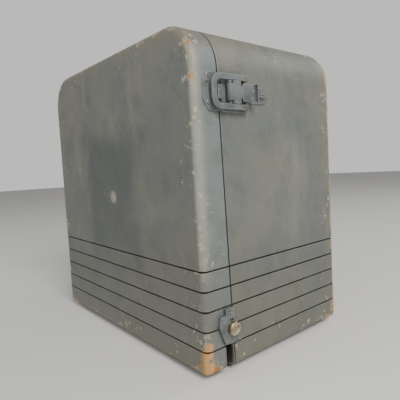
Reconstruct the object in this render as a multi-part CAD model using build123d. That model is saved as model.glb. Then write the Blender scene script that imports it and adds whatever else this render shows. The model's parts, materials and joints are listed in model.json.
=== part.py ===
from build123d import *
import os
from math import cos, radians, sin, sqrt

# A portable ham radio transmitter: a painted wooden case with a lift-off front cover,
# draw latches and tilt hinges on both sides, and a set on a steel panel and chassis inside.
#
# Millimetres. X runs to the right as seen from the front, Y to the back and Z up.
# "Depth" is measured back from the front of the cover, "height" up from the underside of
# the case, and "stand-off" outwards from the right side of the case.

# ---------------------------------------------------------------- driving dimensions
case_width = 410
case_height = 400
case_depth = 246
foot_height = 6

wall = 12
cover_wall = 10
crown_radius = 52
sole_radius = 10
front_round = 8
back_round = 2.5

seam_top = 33.8
seam_bottom = 41.5
seam_gap = 0.8
tongue_thick = 4
tongue_reach = 8
tongue_root = 11
tongue_clearance = 0.4

groove_count = 5
lowest_groove = 29.7
groove_pitch = 23
groove_width = 1.8
groove_depth = 2.6

hinge_depth = 35
hinge_height = 51.5
gap_front = 28
gap_back = 39
gap_top = 54
gap_lip = 4

latch_height = 321
lever_pivot_depth = 48
link_pivot_depth = 72
pivot_standoff = 6

rabbet_width = 5
rabbet_depth = 7.5
back_panel_thick = 2

handle_spread = 124
handle_reach = 42
handle_rise = 9.5
handle_rod = 2.5
handle_grip_radius = 8.5

panel_depth = 54
panel_thick = 2.5
shaft_radius = 3.2
running = 0.08

deck_height = 84
chassis_floor = 24
chassis_half_width = 172
chassis_front = 60
chassis_back = 215
sheet = 1.6

# Places on the front panel, as distance right of the middle and height.
meter_place = (0, 300)
tuning_place = (-108, 212)
loading_place = (108, 212)
band_place = (0, 190)
jack_place = (-132, 106)
send_place = (-66, 106)
pilot_place = (0, 106)
power_place = (66, 106)
crystal_place = (132, 106)
post_places = ((108, 318), (142, 318))

# ---------------------------------------------------------------- shared helpers
half_width = case_width / 2
front_face = -case_depth / 2
facing = Plane(origin=(0, front_face, 0), x_dir=(1, 0, 0), z_dir=(0, -1, 0))
flank = Plane(origin=(half_width, front_face, 0), x_dir=(0, 1, 0), z_dir=(1, 0, 0))
latch_plan = Plane(origin=(half_width, front_face, latch_height), x_dir=(0, 1, 0), z_dir=(0, 0, -1))
lean = (seam_bottom - seam_top) / case_height
lean_length = sqrt(1 + lean * lean)
parting = Plane(
    origin=(0, front_face + seam_bottom, 0),
    x_dir=(1, 0, 0),
    z_dir=(0, -1 / lean_length, -lean / lean_length),
)


def behind(face, start, end):
    """A face drawn as seen from the front, made solid between two depths."""
    return facing * Pos(0, 0, -end) * extrude(face, end - start)


def beside(face, low, high):
    """A face drawn as depth and height, made solid between two stand-offs of the right side."""
    return flank * Pos(0, 0, low) * extrude(face, high - low)


def through_latch(face, half):
    """A face drawn as depth and stand-off, made solid to both sides of the latch's middle."""
    return latch_plan * extrude(face, half, both=True)


def rectangle(x0, y0, x1, y1):
    """A rectangle between two corners."""
    return Pos((x0 + x1) / 2, (y0 + y1) / 2) * Rectangle(x1 - x0, y1 - y0)


def disc(place, radius, start, end):
    """A round piece that faces forward, between two depths."""
    return behind(Pos(*place) * Circle(radius), start, end)


def block(x0, x1, start, end, z0, z1):
    """A box between two widths, two depths and two heights."""
    return behind(rectangle(x0, z0, x1, z1), start, end)


def both_sides(*pieces):
    """Right-hand pieces and their left-hand twins."""
    return list(pieces) + [mirror(piece, about=Plane.YZ) for piece in pieces]


def screw(place, head_radius, head_height, shank_radius, length):
    """A slotted round-head screw whose head sits on the place's plane."""
    head = Pos(0, 0, head_height / 2) * Cylinder(head_radius, head_height)
    head = fillet(head.edges().sort_by(Axis.Z)[-1], head_height * 0.6)
    slot = Pos(0, 0, head_height) * Box(2 * head_radius, head_radius * 0.28, head_height)
    shank = Pos(0, 0, -length / 2) * Cylinder(shank_radius, length)
    return place * (head + shank - slot)


def facing_screw(x, height, depth, head_radius, head_height, shank_radius, length):
    """A screw driven backwards from the front, with its head against the given depth."""
    return screw(facing * Pos(x, height, -depth), head_radius, head_height, shank_radius, length)


def outline(inset):
    """The case as seen from the front, drawn in from its outside by the inset."""
    face = Pos(0, case_height / 2) * Rectangle(case_width - 2 * inset, case_height - 2 * inset)
    face = fillet(face.vertices().group_by(Axis.Y)[-1], crown_radius - inset)
    return fillet(face.vertices().group_by(Axis.Y)[0], max(sole_radius - inset, 1.5))


# ---------------------------------------------------------------- wooden case and cover
def saw_grooves():
    """The level grooves that run round the front and both sides."""
    reach = case_width
    inner = Rectangle(case_width - 2 * groove_depth, case_depth + reach)
    inner = Pos(0, front_face + groove_depth + (case_depth + reach) / 2) * inner
    inner = fillet(inner.vertices().group_by(Axis.Y)[0], front_round - groove_depth)
    ring = Rectangle(case_width + 2, case_depth + 2) - inner
    cut = extrude(ring, groove_width / 2, both=True)
    return [Pos(0, 0, lowest_groove + groove_pitch * i) * cut for i in range(groove_count)]


def foot_gap():
    """The gap under the hinges that the foot of the cover swings back into."""
    slot = rectangle(gap_front, -1, gap_back, gap_top)
    for edge, way in ((gap_front, -1), (gap_back, 1)):
        inner, outer = sorted((edge, edge + way * gap_lip))
        corner = rectangle(inner, 0, outer, gap_lip)
        slot += corner - Pos(edge + way * gap_lip, gap_lip) * Circle(gap_lip)
    return beside(slot, -case_width - 1, 1)


def wooden_box():
    """The whole box before it is parted: rounded, hollow, rabbeted at the back and grooved."""
    box = behind(outline(0), 0, case_depth)
    box = fillet(box.faces().sort_by(Axis.Y)[0].edges(), front_round)
    box = fillet(box.faces().sort_by(Axis.Y)[-1].edges(), back_round)
    box -= behind(outline(wall), cover_wall, case_depth + 1)
    box -= behind(outline(wall - rabbet_width), case_depth - rabbet_depth, case_depth + 1)
    box -= foot_gap()
    for groove in saw_grooves():
        box -= groove
    return box


def seam_tongue():
    """The bent strip inside the case that the cover closes over."""
    root = behind(outline(wall) - outline(wall + tongue_thick), 5, 80)
    root = split(root, bisect_by=parting.offset(-seam_gap / 2), keep=Keep.BOTTOM)
    root = split(root, bisect_by=parting.offset(-tongue_root), keep=Keep.TOP)
    tip = behind(outline(wall + tongue_clearance) - outline(wall + tongue_thick), 5, 80)
    tip = split(tip, bisect_by=parting.offset(-seam_gap / 2), keep=Keep.TOP)
    tip = split(tip, bisect_by=parting.offset(tongue_reach), keep=Keep.BOTTOM)
    floor = block(-half_width, half_width, 0, 90, -1, gap_top + 3)
    return root + tip - floor


def wood_cleats():
    """Side cleats that carry the panel and floor runners that carry the chassis."""
    panel_back = panel_depth + panel_thick
    side = block(half_width - wall - 14, half_width - wall, panel_back, panel_back + 24, 30, 330)
    runner = block(112, 128, 72, 208, wall, chassis_floor)
    return both_sides(side, runner)


def rubber_feet():
    """Four feet set well in from the edges, each with a recess for its screw."""
    feet, screws = [], []
    for x in (-160, 160):
        for y in (-75, 85):
            foot = Pos(x, y, -foot_height / 2) * Cylinder(9, foot_height)
            foot = chamfer(foot.edges().sort_by(Axis.Z)[0], 1.2)
            foot -= Pos(x, y, -foot_height) * Cylinder(5, 6)
            under = Plane(origin=(x, y, -foot_height + 3), x_dir=(1, 0, 0), z_dir=(0, 0, -1))
            held_by = screw(under, 4, 1.6, 1.6, 11)
            feet.append(foot - held_by)
            screws.append(held_by)
    return feet, screws


def back_panel():
    """The louvred steel back, with its hole for the mains inlet, and its screws."""
    start = case_depth - rabbet_depth
    panel = behind(outline(wall - rabbet_width + 0.5), start, start + back_panel_thick)
    slots = []
    for row in range(9):
        for column in (-1, 0, 1):
            slots.append(Pos(column * 112, 150 + row * 22) * SlotOverall(84, 6))
    panel -= [behind(slot, start - 1, start + 4) for slot in slots]
    panel -= block(-140, -100, start - 1, start + 4, 48, 72)
    back = Plane(
        origin=(0, front_face + start + back_panel_thick, 0), x_dir=(-1, 0, 0), z_dir=(0, 1, 0)
    )
    edge = half_width - wall + rabbet_width / 2
    spots = [(side * edge, z) for side in (-1, 1) for z in (60, 190, 320)]
    spots += [(x, case_height - wall + rabbet_width / 2) for x in (-90, 90)]
    spots += [(x, wall - rabbet_width / 2) for x in (-90, 90)]
    screws = [screw(back * Pos(x, z, 0), 3, 1.6, 1.4, 12) for x, z in spots]
    for held_by in screws:
        panel -= held_by
    return panel, screws


# ---------------------------------------------------------------- carrying handle
def handle_brackets():
    """Two saddles on top of the case that the handle's rod turns in, and their screws."""
    brackets, screws = [], []
    for side in (-1, 1):
        x = side * (handle_spread / 2 + 11)
        base = Pos(x, 0, case_height + 1) * Box(14, 42, 2)
        post = Pos(x, 0, case_height + handle_rise / 2) * Box(8, 9, handle_rise)
        eye = Pos(x, 0, case_height + handle_rise) * Rot(0, 90, 0) * Cylinder(5.2, 8)
        bore = Pos(x, 0, case_height + handle_rise) * Rot(0, 90, 0)
        bracket = base + post + eye - bore * Cylinder(handle_rod + running, 30)
        for y in (-15, 15):
            top = Plane(origin=(x, y, case_height + 2), x_dir=(1, 0, 0), z_dir=(0, 0, 1))
            held_by = screw(top, 3.2, 1.8, 1.5, 11)
            bracket -= held_by
            screws.append(held_by)
        brackets.append(bracket)
    return brackets, screws


def handle_bail():
    """One bent rod: two pivot ends, two arms and the bar that the grip sits on."""
    half = handle_spread / 2
    height = case_height + handle_rise
    points = [
        (-half - 20, 0, height),
        (-half, 0, height),
        (-half, handle_reach, height),
        (half, handle_reach, height),
        (half, 0, height),
        (half + 20, 0, height),
    ]
    path = FilletPolyline(*points, radius=6)
    ring = Plane(origin=points[0], z_dir=(1, 0, 0)) * Circle(handle_rod)
    return sweep(ring, path=path)


def handle_grip():
    """A stitched leather roll round the bar."""
    height = case_height + handle_rise
    lie = Pos(0, handle_reach, height) * Rot(0, 90, 0)
    grip = Cylinder(handle_grip_radius, 96)
    grip = fillet(grip.edges().filter_by(GeomType.CIRCLE), 3)
    return lie * (grip - Cylinder(handle_rod, 120))


# ---------------------------------------------------------------- draw latches
eye_half = 9.5
lever_half = 12.9
tab_half = 10
ear_inner = 10.3
ear_thick = 2
ear_radius = 2.4
bail_outer = 19.5
bail_inner = 13.5
bail_front = 20
bail_bar = 6.5
bail_low = 6.6
bail_high = 9.1
latch_pin = 1.7
base_thick = 1.6


def latch_base():
    """The plate on the side of the case, with two ears for the lever and a tail."""
    plate = rectangle(39.5, latch_height - 22, 84, latch_height + 22)
    plate = chamfer(plate.vertices().group_by(Axis.X)[-1], 9)
    plate = fillet(plate.vertices().group_by(Axis.X)[0], 2)
    plate += Pos(94, latch_height) * SlotOverall(42, 20)
    base = beside(plate, 0, base_thick)
    pivot = Pos(lever_pivot_depth, pivot_standoff)
    ear = pivot * Circle(ear_radius)
    ear += rectangle(lever_pivot_depth - ear_radius, 0.8, lever_pivot_depth + ear_radius, pivot_standoff)
    ears = through_latch(ear, ear_inner + ear_thick) - through_latch(ear, ear_inner)
    return base + ears - through_latch(pivot * Circle(latch_pin), 30)


def latch_pin_piece():
    """The headed pin that the lever turns on."""
    pivot = Pos(lever_pivot_depth, pivot_standoff)
    pin = through_latch(pivot * Circle(latch_pin), ear_inner + ear_thick + 0.9)
    heads = through_latch(pivot * Circle(ear_radius), ear_inner + ear_thick + 0.9)
    return pin + (heads - through_latch(pivot * Circle(ear_radius), ear_inner + ear_thick))


def latch_lever():
    """The lever: an eye on the case's pin, an eye for the bail and a finger tab curled outwards."""
    curl_depth, curl_standoff, curl_radius = 78, 14.3, 5
    half = 0.7
    eyes = Pos(lever_pivot_depth, pivot_standoff) * Circle(4)
    eyes += Pos(link_pivot_depth, pivot_standoff) * Circle(3.3)
    eyes += rectangle(lever_pivot_depth, 8.6, curl_depth, 10)
    curl = Pos(curl_depth, curl_standoff) * (Circle(curl_radius + half) - Circle(curl_radius - half))
    curl &= rectangle(curl_depth, curl_standoff - 8, curl_depth + 8, curl_standoff)
    tip = rectangle(
        curl_depth + curl_radius - half, curl_standoff, curl_depth + curl_radius + half, 16.5
    )
    tip += Pos(curl_depth + curl_radius, 16.6) * Circle(1.1)
    profile = eyes + curl + tip
    profile -= Pos(lever_pivot_depth, pivot_standoff) * Circle(latch_pin + running)
    profile -= Pos(link_pivot_depth, pivot_standoff) * Circle(latch_pin + running)
    lever = through_latch(profile, lever_half)
    plate_start, neck_start, neck_end = lever_pivot_depth + 3, 62, 65
    trims = ((30, plate_start, eye_half), (neck_start, neck_end, 7), (neck_end, 90, tab_half))
    for start, end, keep in trims:
        band = rectangle(start, 0, end, 30)
        lever -= through_latch(band, lever_half + 1) - through_latch(band, keep)
    return lever


def latch_bail():
    """The flat loop that reaches over the keeper, with the rod it swings on."""
    outer = rectangle(bail_front, latch_height - bail_outer, link_pivot_depth + 2, latch_height + bail_outer)
    outer = fillet(outer.vertices().group_by(Axis.X)[0], 12)
    window = rectangle(
        bail_front + bail_bar, latch_height - bail_inner, link_pivot_depth + 3, latch_height + bail_inner
    )
    window = fillet(window.vertices().group_by(Axis.X)[0], 6)
    loop = beside(outer - window, bail_low, bail_high)
    pivot = Pos(link_pivot_depth, pivot_standoff)
    eyes = through_latch(pivot * Circle(3.1), bail_outer) - through_latch(pivot * Circle(3.1), bail_inner)
    return loop + eyes + through_latch(pivot * Circle(latch_pin), bail_outer)


def latch_keeper():
    """The plate on the side of the cover, with the hook that the bail draws against."""
    plate = Pos(0, latch_height) * Polygon(
        (34.4, -21), (34.4, 21), (20, 21), (12.5, 9), (12.5, -9), (20, -21), align=None
    )
    hook = Polygon(
        (29.5, 1), (31, 5.9), (37, 5.9), (38.5, 4.6), (38.5, 3.2), (34.4, 2.4), (34.2, 1), align=None
    )
    return beside(plate, 0, 1.8) + through_latch(hook, 7.5)


# ---------------------------------------------------------------- tilt hinges
bearing_low = 0.3
bearing_high = 3
hook_low = 3.4
hook_high = 5.6
neck_radius = 3.2
flange_radius = 4.6
knob_radius = 8
knob_low = 6.1
knob_high = 11.5
slot_slant = 15
hinge_spot = Pos(hinge_depth, hinge_height)


def hinge_bearing():
    """The plate on the case that reaches forward under the hook and carries the knob's pin."""
    plate = Polygon((31.5, 48), (33, 31.5), (50, 31.5), (50, 38), (42, 48), align=None)
    plate += hinge_spot * Circle(6.5)
    seat = plate & rectangle(seam_bottom + 0.5, 30, 52, 60)
    bearing = beside(plate, bearing_low, bearing_high) + beside(seat, 0, bearing_low)
    bearing -= beside(hinge_spot * Circle(neck_radius + running), 0, bearing_high + 1)
    return bearing - beside(hinge_spot * Circle(flange_radius + 0.2), 0, 1.4)


def hinge_pin():
    """The pin with its flange behind the bearing and its round knob outside."""
    pin = beside(hinge_spot * Circle(flange_radius), bearing_low, 1.2)
    pin += beside(hinge_spot * Circle(neck_radius), 1.2, knob_low)
    knob = beside(hinge_spot * Circle(knob_radius), knob_low, knob_high)
    knob = fillet(knob.edges().sort_by(Axis.X)[-1], 1.6)
    dish = beside(hinge_spot * Circle(knob_radius - 3), knob_high - 0.5, knob_high + 1)
    return pin + knob - dish


def hinge_hook():
    """The stepped hook plate on the cover; its slanting open slot sits on the pin's neck."""
    tab = rectangle(26.5, 63, 37.5, 74.5)
    foot = Polygon((19, 67), (16.5, 56), (24.5, 34), (26.5, 34), (26.5, 67), align=None) + tab
    arm = Polygon((19, 67), (16.5, 56), (24.5, 34), (31, 34), (31, 67), align=None) + tab
    arm += hinge_spot * Circle(knob_radius)
    slot = Circle(neck_radius + 0.7) + rectangle(-neck_radius - 0.7, -30, neck_radius + 0.7, 0)
    arm -= hinge_spot * Rot(0, 0, slot_slant) * slot
    return beside(foot, 0, hook_low) + beside(arm, hook_low, hook_high)


def side_screw(depth, height, standoff, head_radius, head_height, length):
    """A screw driven into the right side."""
    place = flank * Pos(depth, height, standoff)
    return screw(place, head_radius, head_height, 1.5, length)


def centre_bolt():
    """The countersunk bolt in the middle of the cover, with its washer and nut inside."""
    middle = case_height / 2
    place = facing * Pos(0, middle, 0)
    head = place * Pos(0, 0, -1.5) * Cone(2.5, 5.5, 3)
    slot = place * Box(12, 1.2, 2)
    bolt = head + disc((0, middle), 2.5, 2.9, 17) - slot
    washer = disc((0, middle), 9, cover_wall, cover_wall + 1.2) - disc((0, middle), 2.5, 0, 30)
    nut = behind(Pos(0, middle) * RegularPolygon(5.2, 6), cover_wall + 1.2, cover_wall + 5)
    return [bolt, washer, nut - disc((0, middle), 2.5, 0, 30)]


# ---------------------------------------------------------------- front panel controls
dial_thick = 1
knob_back = panel_depth - dial_thick - 0.3


def dial_plate(place, radius):
    """A round scale plate with a hole for its shaft."""
    plate = disc(place, radius, panel_depth - dial_thick, panel_depth)
    return plate - disc(place, shaft_radius + 1, 0, 99)


def fluted_knob(place, skirt, body, reach, flutes):
    """A moulded knob: a thin skirt, a fluted grip and a blind hole for the shaft."""
    knob = disc(place, skirt, knob_back - 3, knob_back)
    grip = disc(place, body, knob_back - reach, knob_back - 3)
    grip = fillet(grip.faces().sort_by(Axis.Y)[0].edges(), 1.8)
    step = 360 / flutes
    for i in range(flutes):
        grip -= behind(
            Pos(*place) * Rot(0, 0, step * i) * Pos(body + 0.6, 0) * Circle(1.7),
            knob_back - reach - 1,
            knob_back - 4,
        )
    return knob + grip - disc(place, shaft_radius, knob_back - reach + 6, knob_back + 1)


capacitor_front = panel_depth + panel_thick
capacitor_length = 54
vane = 1.2
vane_pitch = 6
vane_count = 6


def capacitor_frame(place):
    """A pair of end plates joined by a tie plate under the vanes."""
    x, z = place
    back = capacitor_front + capacitor_length
    ends = block(x - 30, x + 30, capacitor_front, back, z - 34, z + 28)
    inside = block(x - 31, x + 31, capacitor_front + 2, back - 2, z - 32, z + 29)
    bore = disc(place, shaft_radius + running, 0, back + 9)
    return ends - inside - bore


def capacitor_stator(place):
    """Fixed half-ring vanes carried by two bars between the end plates."""
    x, z = place
    start, end = capacitor_front + 2, capacitor_front + capacitor_length - 2
    stator = None
    for side in (-1, 1):
        bar = disc((x + side * 19.5, z - 19.5), 2, start, end)
        stator = bar if stator is None else stator + bar
    half_ring = Pos(x, z) * (Circle(28) - Circle(10)) & rectangle(x - 29, z - 29, x + 29, z - 1)
    for i in range(vane_count + 1):
        depth = start + 7 + vane_pitch * i - vane_pitch / 2
        stator += behind(half_ring, depth, depth + vane)
    return stator


def capacitor_rotor(place):
    """The shaft with its half-disc vanes, opened away from the fixed ones."""
    x, z = place
    start = capacitor_front + 2
    rotor = disc(place, shaft_radius, knob_back - 12, capacitor_front + capacitor_length + 2)
    rotor += disc(place, 6, start + 2, start + capacitor_length - 6)
    half_disc = Pos(x, z) * Circle(24) & rectangle(x - 25, z, x + 25, z + 25)
    for i in range(vane_count):
        depth = start + 7 + vane_pitch * i
        rotor += behind(half_disc, depth, depth + vane)
    return rotor


def band_knob():
    """The band selector: a pointer knob and its shaft in one."""
    x, z = band_place
    knob = disc(band_place, 17, knob_back - 5, knob_back)
    pointer = Polygon((-5, -15), (5, -15), (5, 12), (1.2, 21), (-1.2, 21), (-5, 12), align=None)
    knob += behind(Pos(x, z) * pointer, knob_back - 18, knob_back - 4)
    return knob + disc(band_place, shaft_radius, knob_back - 1, panel_depth + 36)


def band_switch():
    """The selector's indexing plate, spacers and two contact wafers behind the panel."""
    start = panel_depth + panel_thick
    index = behind(Pos(*band_place) * RegularPolygon(20, 8), start, start + 4)
    wafers = [disc(band_place, 22, start + at, start + at + 2) for at in (12, 26)]
    switch = index + wafers[0] + wafers[1]
    for side in (-1, 1):
        switch += disc((band_place[0] + side * 15, band_place[1]), 2, start, start + 30)
    return switch - disc(band_place, shaft_radius + running, 0, 120)


bush_radius = 5.8
lamp_body = 7
jack_bore = 3.25
jack_bush = 5.5
post_stud = 2.5


def toggle_body(place):
    """A toggle switch's case, threaded bush and hexagon nut."""
    x, z = place
    start = panel_depth + panel_thick
    body = block(x - 8, x + 8, start, start + 24, z - 14, z + 14)
    body += disc(place, bush_radius, panel_depth - 6, start)
    body += behind(Pos(x, z) * RegularPolygon(9, 6), panel_depth - 2.5, panel_depth)
    return body - disc(place, 4.3, 0, start + 2)


toggle_tilt = 13
toggle_pivot_depth = panel_depth - 3


def toggle_lever(place):
    """A bat-shaped lever with its ball in the bush, resting downwards."""
    x, z = place
    bat = Cone(2, 3.4, 17)
    bat = fillet(bat.edges().sort_by(Axis.Z)[-1], 1.8)
    lever = Pos(0, 0, 8.5) * bat + Sphere(3)
    pivot = facing * Pos(x, z, -toggle_pivot_depth)
    return pivot * Rot(toggle_tilt, 0, 0) * lever


def pilot_lamp():
    """The pilot lamp's bezel and its domed jewel."""
    bezel = disc(pilot_place, 9, panel_depth - 6, panel_depth)
    bezel = chamfer(bezel.faces().sort_by(Axis.Y)[0].edges(), 1.5)
    bezel += disc(pilot_place, lamp_body, panel_depth, panel_depth + 22)
    bezel -= disc(pilot_place, 6, 0, panel_depth + 4)
    x, z = pilot_place
    dome = facing * Pos(x, z, -(panel_depth - 4)) * Sphere(5.9)
    jewel = dome & disc(pilot_place, 5.9, 0, panel_depth - 3)
    return bezel, jewel + disc(pilot_place, 5.9, panel_depth - 4, panel_depth + 2)


def key_jack():
    """The quarter-inch key jack: nut, bush and the barrel behind the panel."""
    x, z = jack_place
    start = panel_depth + panel_thick
    jack = behind(Pos(x, z) * RegularPolygon(8, 6), panel_depth - 2.5, panel_depth)
    jack += disc(jack_place, jack_bush, panel_depth - 5, start)
    jack += disc(jack_place, 8, start, start + 26)
    return jack - disc(jack_place, jack_bore, 0, start + 22)


def antenna_posts():
    """Two binding posts on insulating collars."""
    posts = []
    for place in post_places:
        post = disc(place, 8, panel_depth - 3, panel_depth)
        post += disc(place, post_stud, panel_depth - 20, panel_depth + 14)
        post += disc(place, 6, panel_depth - 20, panel_depth - 9)
        post += disc(place, 7, panel_depth + panel_thick, panel_depth + panel_thick + 3)
        posts.append(post)
    return posts


crystal_pin = 1.3
crystal_pin_gap = 12.3
crystal_cutout = (crystal_place[0] - 12, crystal_place[0] + 12)


def crystal_pins(radius, start, end):
    """The pair of upright-spaced pins, or the holes for them."""
    x, z = crystal_place
    left = disc((x - crystal_pin_gap / 2, z), radius, start, end)
    return left + disc((x + crystal_pin_gap / 2, z), radius, start, end)


def crystal_socket():
    """The socket for the crystal, with a flange in front of the panel."""
    x, z = crystal_place
    flange = fillet((Pos(x, z) * Rectangle(34, 18)).vertices(), 4)
    socket = behind(flange, panel_depth - 2, panel_depth)
    socket += block(*crystal_cutout, panel_depth, panel_depth + 14, z - 6, z + 6)
    return socket - crystal_pins(crystal_pin + running, 0, panel_depth + 11)


def crystal_holder():
    """The plug-in crystal: a flat moulded box on two pins."""
    x, z = crystal_place
    front = panel_depth - 2.2
    box = block(x - 11, x + 11, front - 22, front, z - 5.5, z + 5.5)
    box = fillet(box.edges().filter_by(Axis.Y), 1.5)
    return box + crystal_pins(crystal_pin, front - 1, front + 11)


# ---------------------------------------------------------------- meter
meter_flange = 42
meter_body = 32
meter_cup = 29
meter_front = panel_depth - 9
needle_pivot = (meter_place[0], meter_place[1] - 14)
needle_rest = 45


def meter_case():
    """A round panel meter: flange, glass seat, cup and a shroud over the movement."""
    case = disc(meter_place, meter_flange, meter_front, panel_depth)
    case = fillet(case.faces().sort_by(Axis.Y)[0].edges(), 3)
    case += disc(meter_place, meter_body, panel_depth, panel_depth + 36)
    case -= disc(meter_place, meter_cup + 2, 0, meter_front + 2.2)
    case -= disc(meter_place, meter_cup, 0, panel_depth + 6)
    x, z = meter_place
    shroud = Pos(x, z) * Circle(meter_cup) & rectangle(x - 40, z - 40, x + 40, z - 11)
    return case + behind(shroud, meter_front + 4, meter_front + 5.2)


def meter_needle():
    """The needle on its arbor, at the low end of the scale."""
    x, z = needle_pivot
    depth = panel_depth + 1
    arbor = disc(needle_pivot, 1, depth - 3, depth + 3.6)
    hub = disc(needle_pivot, 3, depth, depth + 1)
    blade = Polygon((-0.8, -6), (0.8, -6), (0.35, 33), (-0.35, 33), align=None)
    return arbor + hub + behind(Pos(x, z) * Rot(0, 0, needle_rest) * blade, depth, depth + 0.6)


# ---------------------------------------------------------------- chassis and its parts
def chassis():
    """A folded steel tray, open underneath, stiffened by its skirts."""
    tray = block(
        -chassis_half_width, chassis_half_width, chassis_front, chassis_back, chassis_floor, deck_height
    )
    return tray - block(
        sheet - chassis_half_width,
        chassis_half_width - sheet,
        chassis_front + sheet,
        chassis_back - sheet,
        chassis_floor - 1,
        deck_height - sheet,
    )


def chassis_brackets():
    """Two gussets between the deck and the back of the panel."""
    start = panel_depth + panel_thick
    gusset = Polygon(
        (start, deck_height), (start + 90, deck_height), (start + 90, deck_height + 8),
        (start + 12, deck_height + 90), (start, deck_height + 90), align=None,
    )
    plate = beside(gusset, -half_width + 160, -half_width + 160 + sheet)
    flange = block(146, 160, start, start + sheet, deck_height, deck_height + 90)
    return both_sides(plate + flange)


# name, distance right, depth, base radius, bulb radius, bulb height
tubes = (
    ("amplifier", -112, 150, 17, 25, 104),
    ("oscillator", -128, 106, 15, 17, 60),
    ("rectifier", 34, 176, 17, 22, 92),
)
socket_high = 3
tube_base_high = 24


def upright(x, depth, radius, low, high):
    """A round piece that stands up between two heights."""
    return Pos(x, front_face + depth, (low + high) / 2) * Cylinder(radius, high - low)


def glass_bulb(x, depth, neck, radius, low, height, thick):
    """A bulb with a domed top and a shouldered neck, thick at the wall."""
    def solid(inset):
        r, n = radius - inset, neck - inset
        top = low + height - inset
        shape = Polyline(
            (0, low), (n, low), (n, low + 6), (r, low + 6 + 1.2 * (radius - neck) + 2), (r, top - r)
        )
        dome = ThreePointArc((r, top - r), (r * sin(radians(45)), top - r + r * cos(radians(45))), (0, top))
        face = make_face([*shape.edges(), *dome.edges(), Line((0, top), (0, low)).edge()])
        return revolve(Plane.XZ * face, Axis.Z)

    foot = Pos(0, 0, low + thick / 2) * Cylinder(neck, thick)
    return Pos(x, front_face + depth, 0) * (solid(0) - solid(thick) + foot)


def tube_set():
    """Sockets, bases, glass bulbs and the plates inside them."""
    sockets, bases, bulbs, plates = [], [], [], []
    for _, x, depth, base, radius, height in tubes:
        seat = deck_height + socket_high
        low = seat + tube_base_high
        sockets.append(upright(x, depth, base + 3, deck_height, seat))
        bases.append(upright(x, depth, base, seat, low))
        bulbs.append(glass_bulb(x, depth, base - 1, radius, low, height, 1.2))
        plate_low, plate_high = low + 14, low + height * 0.66
        plate = Pos(x, front_face + depth, (plate_low + plate_high) / 2) * Box(
            radius * 0.95, radius * 0.6, plate_high - plate_low
        )
        for side in (-1, 1):
            plate += upright(x + side * radius * 0.3, depth, 0.9, low + 1.2, plate_high + 6)
        plates.append(plate)
    return sockets, bases, bulbs, plates


transformer_spot = (112, 168)
choke_spot = (40, 108)
capacitor_cans = ((-38, 192), (-78, 192))
coil_spot = (-40, 136)


def transformer():
    """A laminated core on its side flanges, and the two pressed end bells."""
    x, depth = transformer_spot
    low = deck_height
    core = block(x - 48, x + 48, depth - 20, depth + 20, low, low + 84)
    bells = []
    for way in (-1, 1):
        near, far = sorted((depth + way * 20, depth + way * 46))
        bell = block(x - 42, x + 42, near, far, low + 6, low + 78)
        end = bell.faces().sort_by(Axis.Y)[0 if way < 0 else -1]
        bells.append(fillet(end.edges(), 9))
    return core, bells


def filter_choke():
    """A small choke: core, strap over it and the coil showing at both ends."""
    x, depth = choke_spot
    low = deck_height
    core = block(x - 28, x + 28, depth - 12, depth + 12, low, low + 46)
    coil = block(x - 16, x + 16, depth - 22, depth + 22, low + 10, low + 38)
    strap = block(x - 29.5, x + 29.5, depth - 10, depth + 10, low, low + 47.5)
    feet = block(x - 42, x + 42, depth - 10, depth + 10, low, low + sheet)
    return core + fillet(coil.edges().filter_by(Axis.Z), 5) + strap + feet


def filter_cans():
    """Two aluminium capacitor cans with a rolled top."""
    cans = []
    for x, depth in capacitor_cans:
        can = upright(x, depth, 17.5, deck_height, deck_height + 92)
        can = fillet(can.edges().sort_by(Axis.Z)[-1], 2.5)
        cans.append(can)
    return cans


def tank_coil():
    """The plug-in coil's ribbed form and the sleeve of wire wound on it."""
    x, depth = coil_spot
    low = deck_height
    form = upright(x, depth, 22, low, low + 10) + upright(x, depth, 19, low + 10, low + 96)
    winding = upright(x, depth, 21.5, low + 22, low + 82) - upright(x, depth, 19, low, low + 99)
    return form - upright(x, depth, 16, low + 12, low + 99), winding


def mains_inlet():
    """The recessed two-blade inlet in the back."""
    outside = case_depth - rabbet_depth + back_panel_thick
    x, z = -120, 60
    inlet = block(x - 25, x + 25, outside, outside + 2, z - 15, z + 15)
    inlet += block(x - 19.8, x + 19.8, outside - 22, outside, z - 11.8, z + 11.8)
    well = fillet((Pos(x, z) * Rectangle(30, 16)).vertices(), 6)
    inlet -= behind(well, outside - 18, outside + 3)
    for side in (-1, 1):
        inlet += block(x + side * 6 - 0.8, x + side * 6 + 0.8, outside - 19, outside - 2, z - 3.2, z + 3.2)
    return inlet


# ---------------------------------------------------------------- assembly
def front_panel(screws):
    """The steel panel, bored for everything that passes through it."""
    panel = behind(outline(wall + 0.6), panel_depth, panel_depth + panel_thick)
    bores = [(place, shaft_radius + running) for place in (tuning_place, loading_place, band_place)]
    bores += [(send_place, bush_radius), (power_place, bush_radius), (jack_place, jack_bush)]
    bores += [(place, post_stud) for place in post_places]
    bores += [(meter_place, meter_body), (pilot_place, lamp_body)]
    for place, radius in bores:
        panel -= disc(place, radius, 0, 99)
    panel -= block(*crystal_cutout, 0, 99, crystal_place[1] - 6, crystal_place[1] + 6)
    for held_by in screws:
        panel -= held_by
    return panel


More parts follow.
